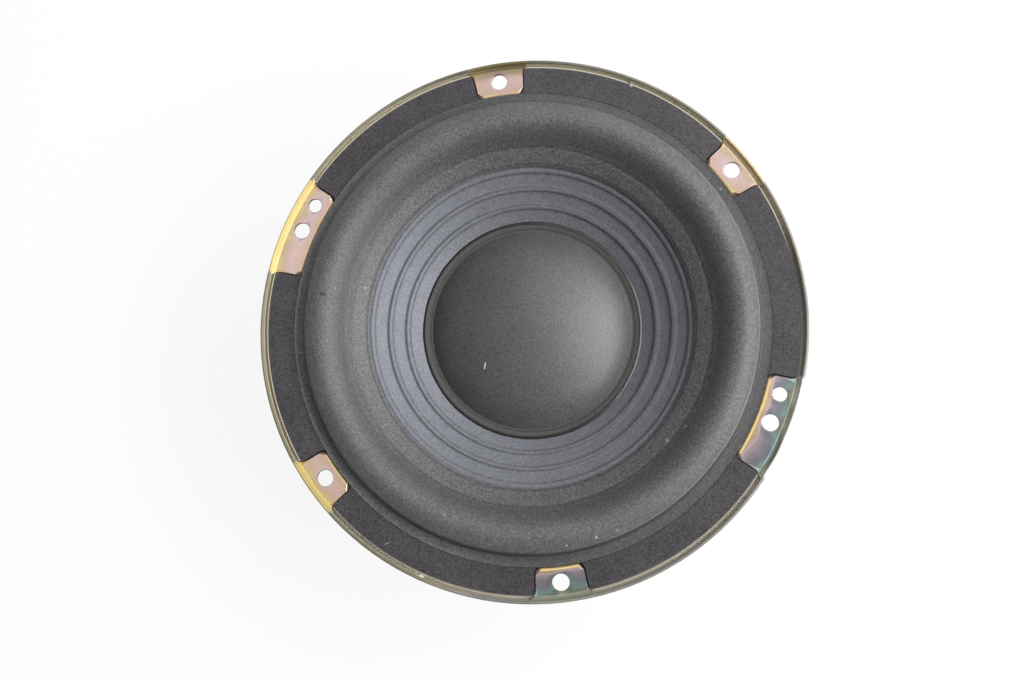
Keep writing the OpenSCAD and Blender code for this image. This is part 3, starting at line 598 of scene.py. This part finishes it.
def zinc_material():
    """Yellow chromate on zinc: rainbow coloured on the pads, paler and rubbed along the rim, and
    brown and dull below the pads' faces, on their sloping edges and on the bowl."""
    material, tree, shader, point = new_material("yellow zinc")
    radius, azimuth, height = use(tree, POLAR, Point=point).outputs
    x, y, _ = put(tree, "SeparateXYZ", {0: point}).outputs
    swirl = put(tree, "TexNoise", {"Vector": point, "Scale": 0.06, "Detail": 2.0}).outputs[0]
    streak = cloud(tree, point, 5.0, 4.0, 0.6)

    # Distances from the middle and from the sides of the nearest pad, and from the nearest hole
    from_pad = calc(tree, "RADIANS", calc(tree, "PINGPONG", azimuth, PAD_SPACING / 2))
    off_middle = product(tree, radius, from_pad)
    halfway_x = product(tree, radius, math.cos(math.radians(PAD_SPACING / 2)))
    wide = calc(tree, "GREATER_THAN", calc(tree, "ABSOLUTE", x), halfway_x)
    off_pad = calc(tree, "SUBTRACT", off_middle, level(tree, wide, SINGLE_PAD_W / 2, WIDE_PAD_W / 2))
    beside_pads = between(tree, off_pad, 1.2, 2.4)
    off_hole = off_nearest_hole(tree, off_middle, radius, x, y)

    # The film's thickness and colour
    at_hole = between(tree, off_hole, 2.2, 0.0)
    on_pad = calc(tree, "MULTIPLY_ADD", at_hole, 0.1, pad_film(tree, radius, azimuth, swirl, wide))
    elsewhere = calc(tree, "SUBTRACT", swirl, 0.33)
    in_front = between(tree, height, PAD_Z - 1.6, PAD_Z - 1.2)
    thickness = level(tree, in_front, elsewhere, on_pad)
    thickness = calc(tree, "MULTIPLY_ADD", calc(tree, "SUBTRACT", streak, 0.5), 0.12, thickness)
    plated = use(tree, plating_film_group(), Thickness=thickness).outputs[0]

    # Painted shade darkens the top pad and the one right of it, with a tan strip of painted shade at their
    # rim ends, where they curve
    at_top = between(tree, facing(tree, azimuth, 80.0), 0.5, 0.8)
    top_pads_shade = product(tree, at_top, between(tree, radius, 80.0, 79.4))
    plated = blend_colours(tree, top_pads_shade, plated, (0.8, 0.8, 0.86, 1), "MULTIPLY")
    tan = blend_colours(
        tree, between(tree, azimuth, 80.0, 100.0), colour(202, 184, 158), colour(140, 130, 112))
    plated = blend_colours(tree, product(tree, at_top, between(tree, radius, 77.5, 80.0), 0.8), plated, tan)

    # The rim; the trench inside it, whitened and dulled as a painted highlight; the holes' walls; and all
    # that lies below the pads' faces
    on_rim = product(tree, between(tree, height, PAD_Z + 0.3, PAD_Z + 0.8), beside_pads, 0.8)
    plated = blend_colours(tree, on_rim, plated, colour(146, 145, 142))
    in_trench = product(
        tree, between(tree, radius, TRENCH_IN_R - 0.2, TRENCH_IN_R + 0.2),
        between(tree, radius, TRENCH_OUT_R + 0.15, TRENCH_OUT_R - 0.15),
        between(tree, height, RIM_Z - 0.2, RIM_Z - 0.7), beside_pads)
    by_gasket = between(tree, radius, TRENCH_MID_R + 0.15, TRENCH_MID_R - 0.15)
    # Painted highlight: the trench is whitened near the gasket, and its metal dulled
    trench_highlight = blend_colours(tree, by_gasket, colour(222, 218, 206), colour(250, 248, 236))
    plated = blend_colours(tree, product(tree, in_trench, 0.85), plated, trench_highlight)
    plated = blend_colours(tree, between(tree, off_hole, 0.12, 0.02), plated, colour(84, 76, 66))
    below_pads = product(
        tree, between(tree, height, PAD_Z - 0.1, PAD_Z - 0.35), between(tree, radius, 79.6, 79.2))
    plated = blend_colours(tree, product(tree, below_pads, 0.9), plated, colour(116, 102, 88))
    dull = largest(tree, product(tree, in_trench, by_gasket), below_pads, product(tree, in_trench, 0.5))

    # The film is rubbed along the edges, and painted shade greys the rubbed rim on the left
    rubbed = largest(tree, between(tree, radius, 73.3, 72.7), between(tree, radius, 80.0, 80.5),
                     between(tree, off_pad, -0.3, 0.3))
    rubbed = product(tree, rubbed, between(tree, height, SEAT_Z - 1.2, SEAT_Z - 0.4))
    off_x = calc(tree, "ABSOLUTE", calc(tree, "SINE", calc(tree, "RADIANS", azimuth)))
    left_rim_shade = product(
        tree, calc(tree, "SUBTRACT", rubbed, in_trench), between(tree, radius, 79.0, 80.0),
        between(tree, facing(tree, azimuth, 190.0), 0.0, 0.3),
        level(tree, between(tree, off_x, 0.4, 0.8), 0.5, 1.0))
    plated = blend_colours(tree, left_rim_shade, plated, (0.62, 0.62, 0.56, 1), "MULTIPLY")
    edge_r = level(tree, between(tree, radius, 79.5, 80.0), 0.3 * MM, 0.0)
    rounded_edges = put(tree, "Bevel", {"Radius": edge_r}, samples=6).outputs[0]
    give(tree, shader, {
        "Base Color": plated, "Metallic": level(tree, dull, 1.0, 0.1),
        "Roughness": level(tree, rubbed, level(tree, streak, 0.14, 0.36), 0.75),
        "Normal": bump(tree, cloud(tree, point, 1.2, 4.0), 0.15, 0.03, rounded_edges)})
    return material


def steel_material():
    """Motor steel: clear zinc plating over turned and pressed plate."""
    material, tree, shader, point = new_material("clear zinc")
    radius, azimuth, height = use(tree, POLAR, Point=point).outputs
    rings = put(tree, "CombineXYZ", {
        0: product(tree, radius, 6.0), 1: product(tree, azimuth, 0.02), 2: product(tree, height, 6.0)})
    turned = put(tree, "TexNoise", {"Vector": rings.outputs[0], "Scale": 1.0, "Detail": 2.0}).outputs[0]
    stain = cloud(tree, point, 16.0)
    body = blend_colours(tree, between(tree, stain, 0.35, 0.7), colour(196, 196, 190), colour(178, 180, 186))
    give(tree, shader, {
        "Base Color": body, "Metallic": 1.0,
        "Roughness": level(tree, turned, 0.22, 0.46), "Normal": bump(tree, turned, 0.25, 0.03)})
    return material


def ferrite_material():
    """Ferrite: dark grey ceramic, ground on its faces, with small pits."""
    material, tree, shader, point = new_material("ferrite")
    tint = cloud(tree, point, 12.0, 5.0)
    body = blend_colours(tree, between(tree, tint, 0.3, 0.7), colour(52, 52, 56), colour(70, 69, 72))
    pits = use(tree, SPECKS, Point=point, Spacing=1.8, Amount=0.2)
    body = blend_colours(tree, product(tree, pits.outputs[0], 0.6), body, colour(28, 28, 30))
    speckled = use(tree, SPECKLED, Color=body, Point=point, Size=0.8, Amount=0.15)
    give(tree, shader, {
        "Base Color": speckled.outputs[0], "Roughness": level(tree, tint, 0.3, 0.6),
        "Normal": bump(tree, speckled.outputs["Height"], 0.3, 0.1)})
    return material


def cloth_material():
    """Spider cloth: resin-soaked weave, amber brown, with painted shade in its gaps and painted highlight on
    its crossings.
    """
    material, tree, shader, point = new_material("spider cloth")
    x, y, _ = put(tree, "SeparateXYZ", {0: point}).outputs
    across = calc(tree, "SINE", product(tree, x, 2 * math.pi / THREAD_W))
    along = calc(tree, "SINE", product(tree, y, 2 * math.pi / THREAD_W))
    weave = product(tree, across, along)
    ribs = largest(tree, calc(tree, "ABSOLUTE", across), calc(tree, "ABSOLUTE", along))
    tint = cloud(tree, point, 10.0)
    body = blend_colours(tree, between(tree, tint, 0.3, 0.7), colour(176, 132, 62), colour(198, 154, 82))
    # Painted shade in the gaps between the threads, and painted highlight on their raised crossings
    body = blend_colours(tree, between(tree, ribs, 0.9, 0.3), body, colour(120, 82, 34))
    crossing_highlight = product(tree, between(tree, weave, 0.1, 0.9), 0.35)
    body = blend_colours(tree, crossing_highlight, body, colour(222, 184, 116))
    give(tree, shader, {
        "Base Color": body, "Roughness": 0.62, "Sheen Weight": 0.15,
        "Normal": bump(tree, calc(tree, "ADD", ribs, weave), 0.5, 0.08)})
    return material


def board_material():
    """Terminal board: brown resin-bonded paper with a faint layered grain."""
    material, tree, shader, point = new_material("resin board")
    stretched = put(tree, "VectorMath", {0: point, 1: (1.0, 0.3, 3.0)}, operation="MULTIPLY").outputs[0]
    layers = cloud(tree, stretched, 1.4, 5.0, 0.65)
    body = blend_colours(tree, between(tree, layers, 0.3, 0.7), colour(112, 74, 40), colour(146, 100, 58))
    give(tree, shader, {"Base Color": body, "Roughness": 0.42, "Normal": bump(tree, layers, 0.2, 0.05)})
    return material


def bright_metal(name, shade, worn, rough):
    """A small plated or plain metal part, with tarnish in patches."""
    material, tree, shader, point = new_material(name)
    patches = cloud(tree, point, 1.6, 4.0, 0.6)
    body = blend_colours(tree, between(tree, patches, 0.4, 0.75), shade, worn)
    give(tree, shader, {
        "Base Color": body, "Metallic": 1.0,
        "Roughness": level(tree, patches, rough * 0.6, rough * 1.6),
        "Normal": bump(tree, patches, 0.2, 0.03)})
    return material


def tinsel_material():
    """Tinsel braid: copper foil wound on brown cotton."""
    material, tree, shader, point = new_material("tinsel braid")
    wound = cloud(tree, point, 0.35, 2.0)
    foil = between(tree, wound, 0.45, 0.6)
    body = blend_colours(tree, foil, colour(126, 86, 58), colour(206, 146, 104))
    give(tree, shader, {
        "Base Color": body, "Metallic": foil, "Roughness": 0.42,
        "Normal": bump(tree, wound, 0.3, 0.04)})
    return material


def former_material():
    """Coil former: amber film, smooth, with faint wound bands."""
    material, tree, shader, point = new_material("former film")
    stretched = put(tree, "VectorMath", {0: point, 1: (0.2, 0.2, 2.0)}, operation="MULTIPLY").outputs[0]
    bands = cloud(tree, stretched, 1.0)
    body = blend_colours(tree, between(tree, bands, 0.3, 0.7), colour(150, 96, 34), colour(184, 126, 52))
    give(tree, shader, {"Base Color": body, "Roughness": 0.3, "Normal": bump(tree, bands, 0.1, 0.03)})
    return material


def glue_material(name, shade, rough):
    """Glue: rubbery, uneven and slightly shiny, with a painted highlight on its lumps."""
    material, tree, shader, point = new_material(name)
    lumps = cloud(tree, point, 2.0, 3.0)
    # Painted highlight: the glue is paler on top of its lumps
    paler = [min(1.0, v * 1.6) for v in shade[:3]] + [1.0]
    body = blend_colours(tree, between(tree, lumps, 0.4, 0.8), shade, paler)
    give(tree, shader, {"Base Color": body, "Roughness": rough, "Normal": bump(tree, lumps, 0.4, 0.15)})
    return material


# Mesh helpers

def finished(name, bm, crease=40):
    """Makes the object. Faces are smooth up to that angle, in degrees, between them."""
    for face in bm.faces:
        face.smooth = True
    for edge in bm.edges:
        edge.smooth = edge.calc_face_angle(0) < math.radians(crease)
    mesh = bpy.data.meshes.new(name)
    bm.to_mesh(mesh)
    bm.free()
    made = bpy.data.objects.new(name, mesh)
    scene.collection.objects.link(made)
    return made


def clamped(share):
    """The share kept between 0 and 1."""
    return min(1.0, max(0.0, share))


def spun(name, outline, steps, crease, uneven=0.0, reach=1.0):
    """A ring spun round the axis from a closed section of radius and height in millimetres. Its
    faces go up and down by at most the uneven height, in waves as wide as the reach."""
    bm = bmesh.new()
    corners = [bm.verts.new((r * MM, 0, z * MM)) for r, z in outline]
    sides = [bm.edges.new((corners[i - 1], corners[i])) for i in range(len(corners))]
    bmesh.ops.spin(bm, geom=corners + sides, cent=(0, 0, 0), axis=(0, 0, 1), dvec=(0, 0, 0),
                   angle=2 * math.pi, steps=steps, use_merge=True, use_duplicate=False)
    bmesh.ops.remove_doubles(bm, verts=bm.verts, dist=1e-7)
    bmesh.ops.recalc_face_normals(bm, faces=bm.faces)
    if uneven:
        for vert in bm.verts:
            vert.co.z += noise.noise(vert.co / (reach * MM)) * uneven * MM
    return finished(name, bm, crease)


def rounded(points):
    """The open path with its corners cut, and its ends kept."""
    cut = [points[0]]
    for a, b in zip(points, points[1:]):
        cut += [(a[0] * 0.75 + b[0] * 0.25, a[1] * 0.75 + b[1] * 0.25),
                (a[0] * 0.25 + b[0] * 0.75, a[1] * 0.25 + b[1] * 0.75)]
    return cut + [points[-1]]


def beside(path, distances):
    """The path moved sideways, each point by its own distance, with mitred corners."""
    moved = []
    for i, distance in enumerate(distances):
        here = Vector(path[i])
        before = (here - Vector(path[i - 1])).normalized() if i else None
        after = (Vector(path[i + 1]) - here).normalized() if i < len(path) - 1 else before
        before = before or after
        a, b = Vector((before.y, -before.x)), Vector((after.y, -after.x))
        middle = (a + b).normalized()
        moved.append(tuple(here + middle * (distance / max(middle.dot(a), 0.5))))
    return moved


def outline_at(r, z, corners):
    """The closed section whose corners are given by their distances from the point at r and z."""
    return [(r + outwards, z + up) for outwards, up in corners]


def sheet_section(path, above, below):
    """The closed section of a sheet that reaches above and below its path."""
    return beside(path, above) + beside(path, [-d for d in below])[::-1]


def rounded_copy(node, name, inner, outer):
    """A copy of a flat CAD piece with its flat faces joined and its edges rounded, those near the
    axis by the inner radius and the rest by the outer one."""
    bm = bmesh.new()
    bm.from_mesh(nodes[node].data)
    bmesh.ops.remove_doubles(bm, verts=bm.verts, dist=1e-6)
    bmesh.ops.dissolve_limit(bm, angle_limit=math.radians(1), verts=bm.verts, edges=bm.edges)
    for radius, near in ((inner, True), (outer, False)):
        sharp = []
        for edge in bm.edges:
            middle = (edge.verts[0].co + edge.verts[1].co).xy / 2
            at_axis_side = middle.length < (PAD_IN_R + 1.0) * MM
            if edge.calc_face_angle(0) > math.radians(50) and near == at_axis_side:
                sharp.append(edge)
        bmesh.ops.bevel(bm, geom=sharp, offset=radius * MM, offset_type="OFFSET", affect="EDGES",
                        segments=3, profile=0.5, material=-1, clamp_overlap=True)
    return finished(name, bm, 30)


def blob(name, place, size, squash):
    """A small lump of solder or glue: an icosphere pressed flat and roughened."""
    bm = bmesh.new()
    bmesh.ops.create_icosphere(bm, subdivisions=4, radius=1.0)
    for vert in bm.verts:
        swell = 1 + 0.16 * noise.noise(vert.co * 1.3 + Vector(place))
        pressed = Vector((vert.co.x * squash[0], vert.co.y * squash[1], vert.co.z * squash[2]))
        vert.co = pressed * swell * size * MM
        vert.co += Vector(place) * MM
    return finished(name, bm, 180)


def dress(piece, material, body=None):
    """Gives a new piece its material and slot, and the body that it rides on."""
    piece.data.materials.clear()
    piece.data.materials.append(material)
    if body:
        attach(piece, body)


def bend_round_axis(piece, still_r, moving_r):
    """Lets a ring bend between the basket, at still_r, and the cone, at moving_r."""
    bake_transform(piece, "chassis", "cone_assembly", start=(0, 0, 0), end=(0, 0, 0.01))
    weights = piece.data.attributes["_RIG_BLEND"].data
    for vert, weight in zip(piece.data.vertices, weights):
        share = clamped((still_r * MM - vert.co.xy.length) / ((still_r - moving_r) * MM))
        weight.value = share * share * (3 - 2 * share)


# The pieces

def smooth_route(points, steps):
    """A smooth curve through the points, with so many steps between two of them."""
    ends = [2 * points[0] - points[1], *points, 2 * points[-1] - points[-2]]
    route = []
    for a, b, c, d in zip(ends, ends[1:], ends[2:], ends[3:]):
        for i in range(steps):
            t = i / steps
            route.append(0.5 * (2 * b + (c - a) * t + (2 * a - 5 * b + 4 * c - d) * t ** 2
                                + (3 * b - a - 3 * c + d) * t ** 3))
    return route + [points[-1]]


def strand(curve, points):
    """Adds an open line through the points to the curve."""
    spline = curve.splines.new("POLY")
    spline.points.add(len(points) - 1)
    for point, place in zip(spline.points, points):
        point.co = (*place, 1.0)


def round_curve(name, thickness, corners):
    """An empty curve object whose lines will be round rods of that thickness."""
    curve = bpy.data.curves.new(name, "CURVE")
    curve.dimensions = "3D"
    curve.bevel_depth = thickness / 2
    curve.bevel_resolution = corners
    curve.use_fill_caps = True
    made = bpy.data.objects.new(name, curve)
    scene.collection.objects.link(made)
    return made


def tinsel_lead(name, side, material):
    """A braided tinsel lead along its route: a cotton core under eight strands that cross."""
    route = smooth_route([Vector((side * x, y, z)) * MM for x, y, z in LEAD_ROUTE], 12)
    walked = [0.0]
    for a, b in zip(route, route[1:]):
        walked.append(walked[-1] + (b - a).length)
    braid = round_curve(name, STRAND_D * MM, 1)
    for k in range(STRANDS):
        turning = 1 if k % 2 else -1
        points = []
        for i, here in enumerate(route):
            ahead = (route[min(i + 1, len(route) - 1)] - route[max(i - 1, 0)]).normalized()
            u = (Vector((1, 0, 0)) - ahead * ahead.x).normalized()
            v = ahead.cross(u)
            angle = turning * 2 * math.pi * walked[i] / (STRAND_PITCH * MM) + 4 * math.pi * (k // 2) / STRANDS
            weave = 0.05 * turning * math.cos(angle * STRANDS / 2)
            around = (LEAD_D / 2 - STRAND_D / 2 - 0.05 + weave) * MM
            points.append(here + (u * math.cos(angle) + v * math.sin(angle)) * around)
        strand(braid.data, points)
    core = round_curve(name + "_core", LEAD_CORE_D * MM, 2)
    strand(core.data, route)
    bpy.context.view_layer.update()
    graph = bpy.context.evaluated_depsgraph_get()
    bm = bmesh.new()
    for part in (braid, core):
        bm.from_mesh(bpy.data.meshes.new_from_object(part.evaluated_get(graph)))
        bpy.data.objects.remove(part)
    bmesh.ops.remove_doubles(bm, verts=bm.verts, dist=1e-8)
    bmesh.ops.recalc_face_normals(bm, faces=bm.faces)
    lead = finished(name, bm, 50)
    dress(lead, material)
    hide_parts(name.replace("_braid", ""))
    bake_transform(lead, "chassis", "cone_assembly", start=route[-12], end=route[8])


def cone_z(r):
    """Height of the cone's front face at radius r."""
    return CONE_EDGE_Z - (CONE_OUT_R - r) * math.tan(CONE_SLOPE)


def surround(material):
    """The foam ring: outer lip, half roll, and an inner lip glued down on the cone. The roll is
    fullest on its outer side, and a fine groove is pressed along its inner root."""
    path = []
    for i in range(LIP_POINTS):
        r = LIP_OUT_R + LIP_LAP - LIP_STEP * i
        turned_up = max(0.0, r - LIP_OUT_R + LIP_TURN) / LIP_TURN_W
        path.append((r, LIP_Z + LIP_RISE * turned_up ** 2))
    path += [tuple(point) for point in smooth_route([Vector(point) for point in ROLL_LINE], 3)]
    root_r = ROLL_IN_R - FOAM_T
    lift = INNER_LIP_LIFT + FOAM_T / 2
    foot = Vector((root_r, cone_z(root_r)))
    foot += lift * Vector((-math.sin(CONE_SLOPE), math.cos(CONE_SLOPE)))
    along = Vector((math.cos(CONE_SLOPE), math.sin(CONE_SLOPE)))
    path += [tuple(foot - along * INNER_LIP * i / INNER_LIP_STEPS) for i in range(INNER_LIP_STEPS + 1)]
    path = rounded(path)
    above = []
    below = []
    for r, _ in path:
        groove = GROOVE_DEPTH * math.exp(-((r - GROOVE_R) / GROOVE_W) ** 2)
        thinned = THIN_EDGE * clamped((THIN_EDGE_R - r) / THIN_EDGE_W)
        above.append(FOAM_T / 2 - groove - thinned)
        on_cone = clamped((ROLL_IN_R - r) / INNER_LIP_FADE - 1)
        on_seat = clamped((r - LIP_IN_R) / LIP_FADE)
        below.append(FOAM_T / 2 + INNER_LIP_GLUE * on_cone + (LIP_Z - FOAM_T / 2 - SEAT_Z) * on_seat)
    ring = spun("surround_foam", sheet_section(path, above, below), 256, 50, uneven=0.16, reach=16)
    dress(ring, material)
    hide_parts("surround")
    bend_round_axis(ring, ROLL_OUT_R + 0.3, ROLL_IN_R)


def spider(material):
    """The centring spider: a corrugated cloth ring with a collar up the coil former."""
    collar_r = FORMER_R + 0.3 + CLOTH_T / 2
    collar_z = SPIDER_Z + 2 * CLOTH_T
    start_r = collar_r + 2 * CLOTH_T
    steps = WAVES * WAVE_STEPS
    path = [(SPIDER_R, SPIDER_Z), (SPIDER_R - 1.5, SPIDER_Z), (SPIDER_FLAT_R + 0.6, SPIDER_Z)]
    for i in range(1, steps):
        height = WAVE_H * math.sin(2 * math.pi * WAVES * i / steps)
        path.append((SPIDER_FLAT_R + (start_r - SPIDER_FLAT_R) * i / steps, SPIDER_Z + height))
    path += [(start_r, SPIDER_Z), (collar_r, collar_z), (collar_r, collar_z + COLLAR_H)]
    path = rounded(path)
    half = [CLOTH_T / 2] * len(path)
    ring = spun("spider_cloth_ring", sheet_section(path, half, half), 200, 60)
    dress(ring, material)
    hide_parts("spider")
    bend_round_axis(ring, SPIDER_FLAT_R, start_r)


def winding(material):
    """The voice coil winding: turn on turn of round wire on the former."""
    inner_r = FORMER_R + 0.01
    wire_r = WIRE_D / 2
    turns = int((WINDING_TOP_Z - WINDING_LOW_Z) / WIRE_D)
    outline = [(inner_r, WINDING_TOP_Z), (inner_r, WINDING_LOW_Z)]
    for i in range(turns):
        middle_z = WINDING_LOW_Z + WIRE_D * i + wire_r
        for k in range(WIRE_STEPS):
            turn = math.pi * (k + 0.5) / WIRE_STEPS - math.pi / 2
            outline.append((WINDING_R - wire_r + wire_r * math.cos(turn), middle_z + wire_r * math.sin(turn)))
    coil = spun("coil_turns", outline, 144, 60)
    dress(coil, material, "cone_assembly")
    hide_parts("voice_coil_winding")


def gaskets(material):
    """The six gasket segments, with their cut edges rounded."""
    for i in range(1, 7):
        node = f"gasket_segment_{i}"
        segment = rounded_copy(node, f"gasket_{i}", 0.2, 0.6)
        even = segment.modifiers.new("even shading", "WEIGHTED_NORMAL")
        even.keep_sharp = True
        dress(segment, material, "chassis")
        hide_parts(node)


def cap_edges(paper, glue):
    """The small ridge round the dome's foot, and the glue round the cap's flange."""
    foot = outline_at(CAP_R, cone_z(CAP_R) + 0.75, [
        (-0.3, -0.1), (-0.15, 0.05), (0.05, 0.05), (0.25, -0.04), (0.35, -0.15)])
    ring = spun("cap_foot_ridge", foot, 240, 80)
    dress(ring, paper, "cone_assembly")
    fillet = outline_at(CAP_OUT_R, cone_z(CAP_OUT_R), [
        (-0.5, 0.3), (-0.35, 0.6), (-0.1, 0.7), (0.25, 0.5), (0.6, 0.42), (0.7, 0.3)])
    ring = spun("cap_glue", fillet, 240, 80, uneven=0.12, reach=4)
    dress(ring, glue, "cone_assembly")


def glue_rings(amber):
    """Glue fillets: round the top of the spider's collar, and along its outer rim."""
    collar = outline_at(FORMER_R, SPIDER_Z + 2 * CLOTH_T + COLLAR_H, [
        (0.02, -0.5), (0.26, -0.5), (0.8, 0.03), (0.55, 0.4), (0.15, 0.95), (0.02, 1.1)])
    ring = spun("spider_collar_glue", collar, 180, 70)
    dress(ring, amber, "cone_assembly")
    rim = outline_at(SPIDER_R, SPIDER_Z, [
        (-0.9, 0.32), (-0.2, 0.75), (0.2, 0.8), (0.27, 0.1), (0.05, 0.05), (0.03, 0.32)])
    ring = spun("spider_rim_glue", rim, 220, 70, uneven=0.1, reach=5)
    dress(ring, amber, "chassis")


def cad_finishes(materials):
    """Gives each CAD node that stays its finish."""
    finishes = {
        "basket": "zinc", "cone": "paper", "dust_cap": "cap", "voice_coil_former": "former",
        "top_plate": "steel", "t_yoke": "steel", "magnet": "ferrite", "basket_rivets": "steel",
        "board_rivets": "steel", "terminal_board": "board", "terminal_tag_positive": "tinned",
        "terminal_tag_negative": "tinned", "terminal_rivets": "brass", "lead_eyelets": "brass",
    }
    for node, finish in finishes.items():
        nodes[node].material_slots[0].material = materials[finish]


# Floor and surroundings

def floor():
    """A plain near-white floor that keeps a faint shadow."""
    bm = bmesh.new()
    bmesh.ops.create_grid(bm, x_segments=1, y_segments=1, size=4.0)
    bmesh.ops.translate(bm, verts=bm.verts, vec=(0, 0, BACK_Z - FLOOR_GAP * MM))
    ground = finished("floor", bm)
    material = bpy.data.materials.new("pale floor")
    material.use_nodes = True
    tree = material.node_tree
    tree.nodes.remove(tree.nodes["Principled BSDF"])
    path = put(tree, "LightPath")
    seen = largest(tree, path.outputs["Is Camera Ray"], path.outputs["Is Glossy Ray"],
                   path.outputs["Is Transmission Ray"])
    plain = put(tree, "BsdfDiffuse", {"Color": (0.8, 0.8, 0.8, 1)})
    faint = put(tree, "BsdfDiffuse", {"Color": (0.1, 0.1, 0.1, 1)})
    glow = put(tree, "Emission", {"Color": (1, 1, 1, 1), "Strength": 0.89})
    white = put(tree, "AddShader", {0: faint.outputs[0], 1: glow.outputs[0]})
    mixed = put(tree, "MixShader", {0: seen, 1: plain.outputs[0], 2: white.outputs[0]})
    give(tree, tree.nodes["Material Output"], {0: mixed.outputs[0]})
    ground.data.materials.append(material)


def studio_world():
    """Soft light, brightest in a ring high up, and weaker from the lower right. The camera sees
    white instead, and so do glossy faces that look sideways."""
    world = bpy.data.worlds.new("studio")
    scene.world = world
    world.use_nodes = True
    tree = world.node_tree
    direction = put(tree, "TexCoord").outputs["Generated"]
    height = put(tree, "SeparateXYZ", {0: direction}).outputs[2]
    light = ramp(tree, height, [
        (0.0, 0.14), (0.84, 0.15), (0.9, 0.85), (0.955, 0.96), (0.982, 0.4), (1.0, 0.3)])
    upper_left = put(tree, "VectorMath", {0: direction, 1: (-0.82, 0.57, 0)}, operation="DOT_PRODUCT")
    lower_right = between(tree, upper_left.outputs["Value"], -0.1, -0.35)
    light = blend_colours(tree, lower_right, light, (0.4, 0.4, 0.4, 1), "MULTIPLY")
    path = put(tree, "LightPath")
    shiny = largest(tree, path.outputs["Is Glossy Ray"], path.outputs["Is Transmission Ray"])
    low = between(tree, height, 0.4, 0.2)
    white = largest(tree, path.outputs["Is Camera Ray"], product(tree, shiny, low))
    shown = blend_colours(tree, white, light, (0.98, 0.98, 0.98, 1))
    give(tree, tree.nodes["Background"], {"Color": shown, "Strength": 1.0})


place_camera()
tinsel = tinsel_material()
tinsel_lead("tinsel_lead_positive_braid", 1, tinsel)
tinsel_lead("tinsel_lead_negative_braid", -1, tinsel)
materials = {
    "zinc": zinc_material(),
    "paper": paper_material(),
    "cap": cap_material(),
    "former": former_material(),
    "steel": steel_material(),
    "ferrite": ferrite_material(),
    "board": board_material(),
    "tinned": bright_metal("tinned brass", colour(214, 212, 204), colour(176, 172, 160), 0.3),
    "brass": bright_metal("brass", colour(214, 184, 110), colour(150, 118, 62), 0.3),
    "copper": bright_metal("enamelled copper", colour(196, 104, 62), colour(160, 76, 44), 0.3),
    "solder": bright_metal("solder", colour(200, 202, 204), colour(150, 152, 156), 0.4),
}
cad_finishes(materials)
surround(foam_material())
spider(cloth_material())
winding(materials["copper"])
gaskets(gasket_material())
amber = glue_material("amber glue", colour(120, 84, 34), 0.3)
dark_glue = glue_material("dark glue", colour(34, 33, 33), 0.35)
glue_rings(amber)
cap_edges(materials["cap"], dark_glue)
for side, word in ((1, "positive"), (-1, "negative")):
    x, y, z = LEAD_ROUTE[-1]
    drop = blob(f"solder_{word}", (side * x, y - 0.1, z - 0.2), 1.5, (1.0, 0.75, 1.0))
    dress(drop, materials["solder"], "chassis")
    x, y, z = LEAD_ROUTE[0]
    dab = blob(f"lead_glue_{word}", (side * x, y + 0.1, z + 0.1), 1.9, (1.0, 1.0, 0.6))
    dress(dab, dark_glue, "cone_assembly")
floor()
studio_world()
softbox("key", azimuth=27, elevation=45, away=1.2, width=1.3, height=0.5, power=22)
softbox("side", azimuth=95, elevation=48, away=1.2, width=0.5, height=0.5, power=2.6)
scene.view_settings.view_transform = "Standard"
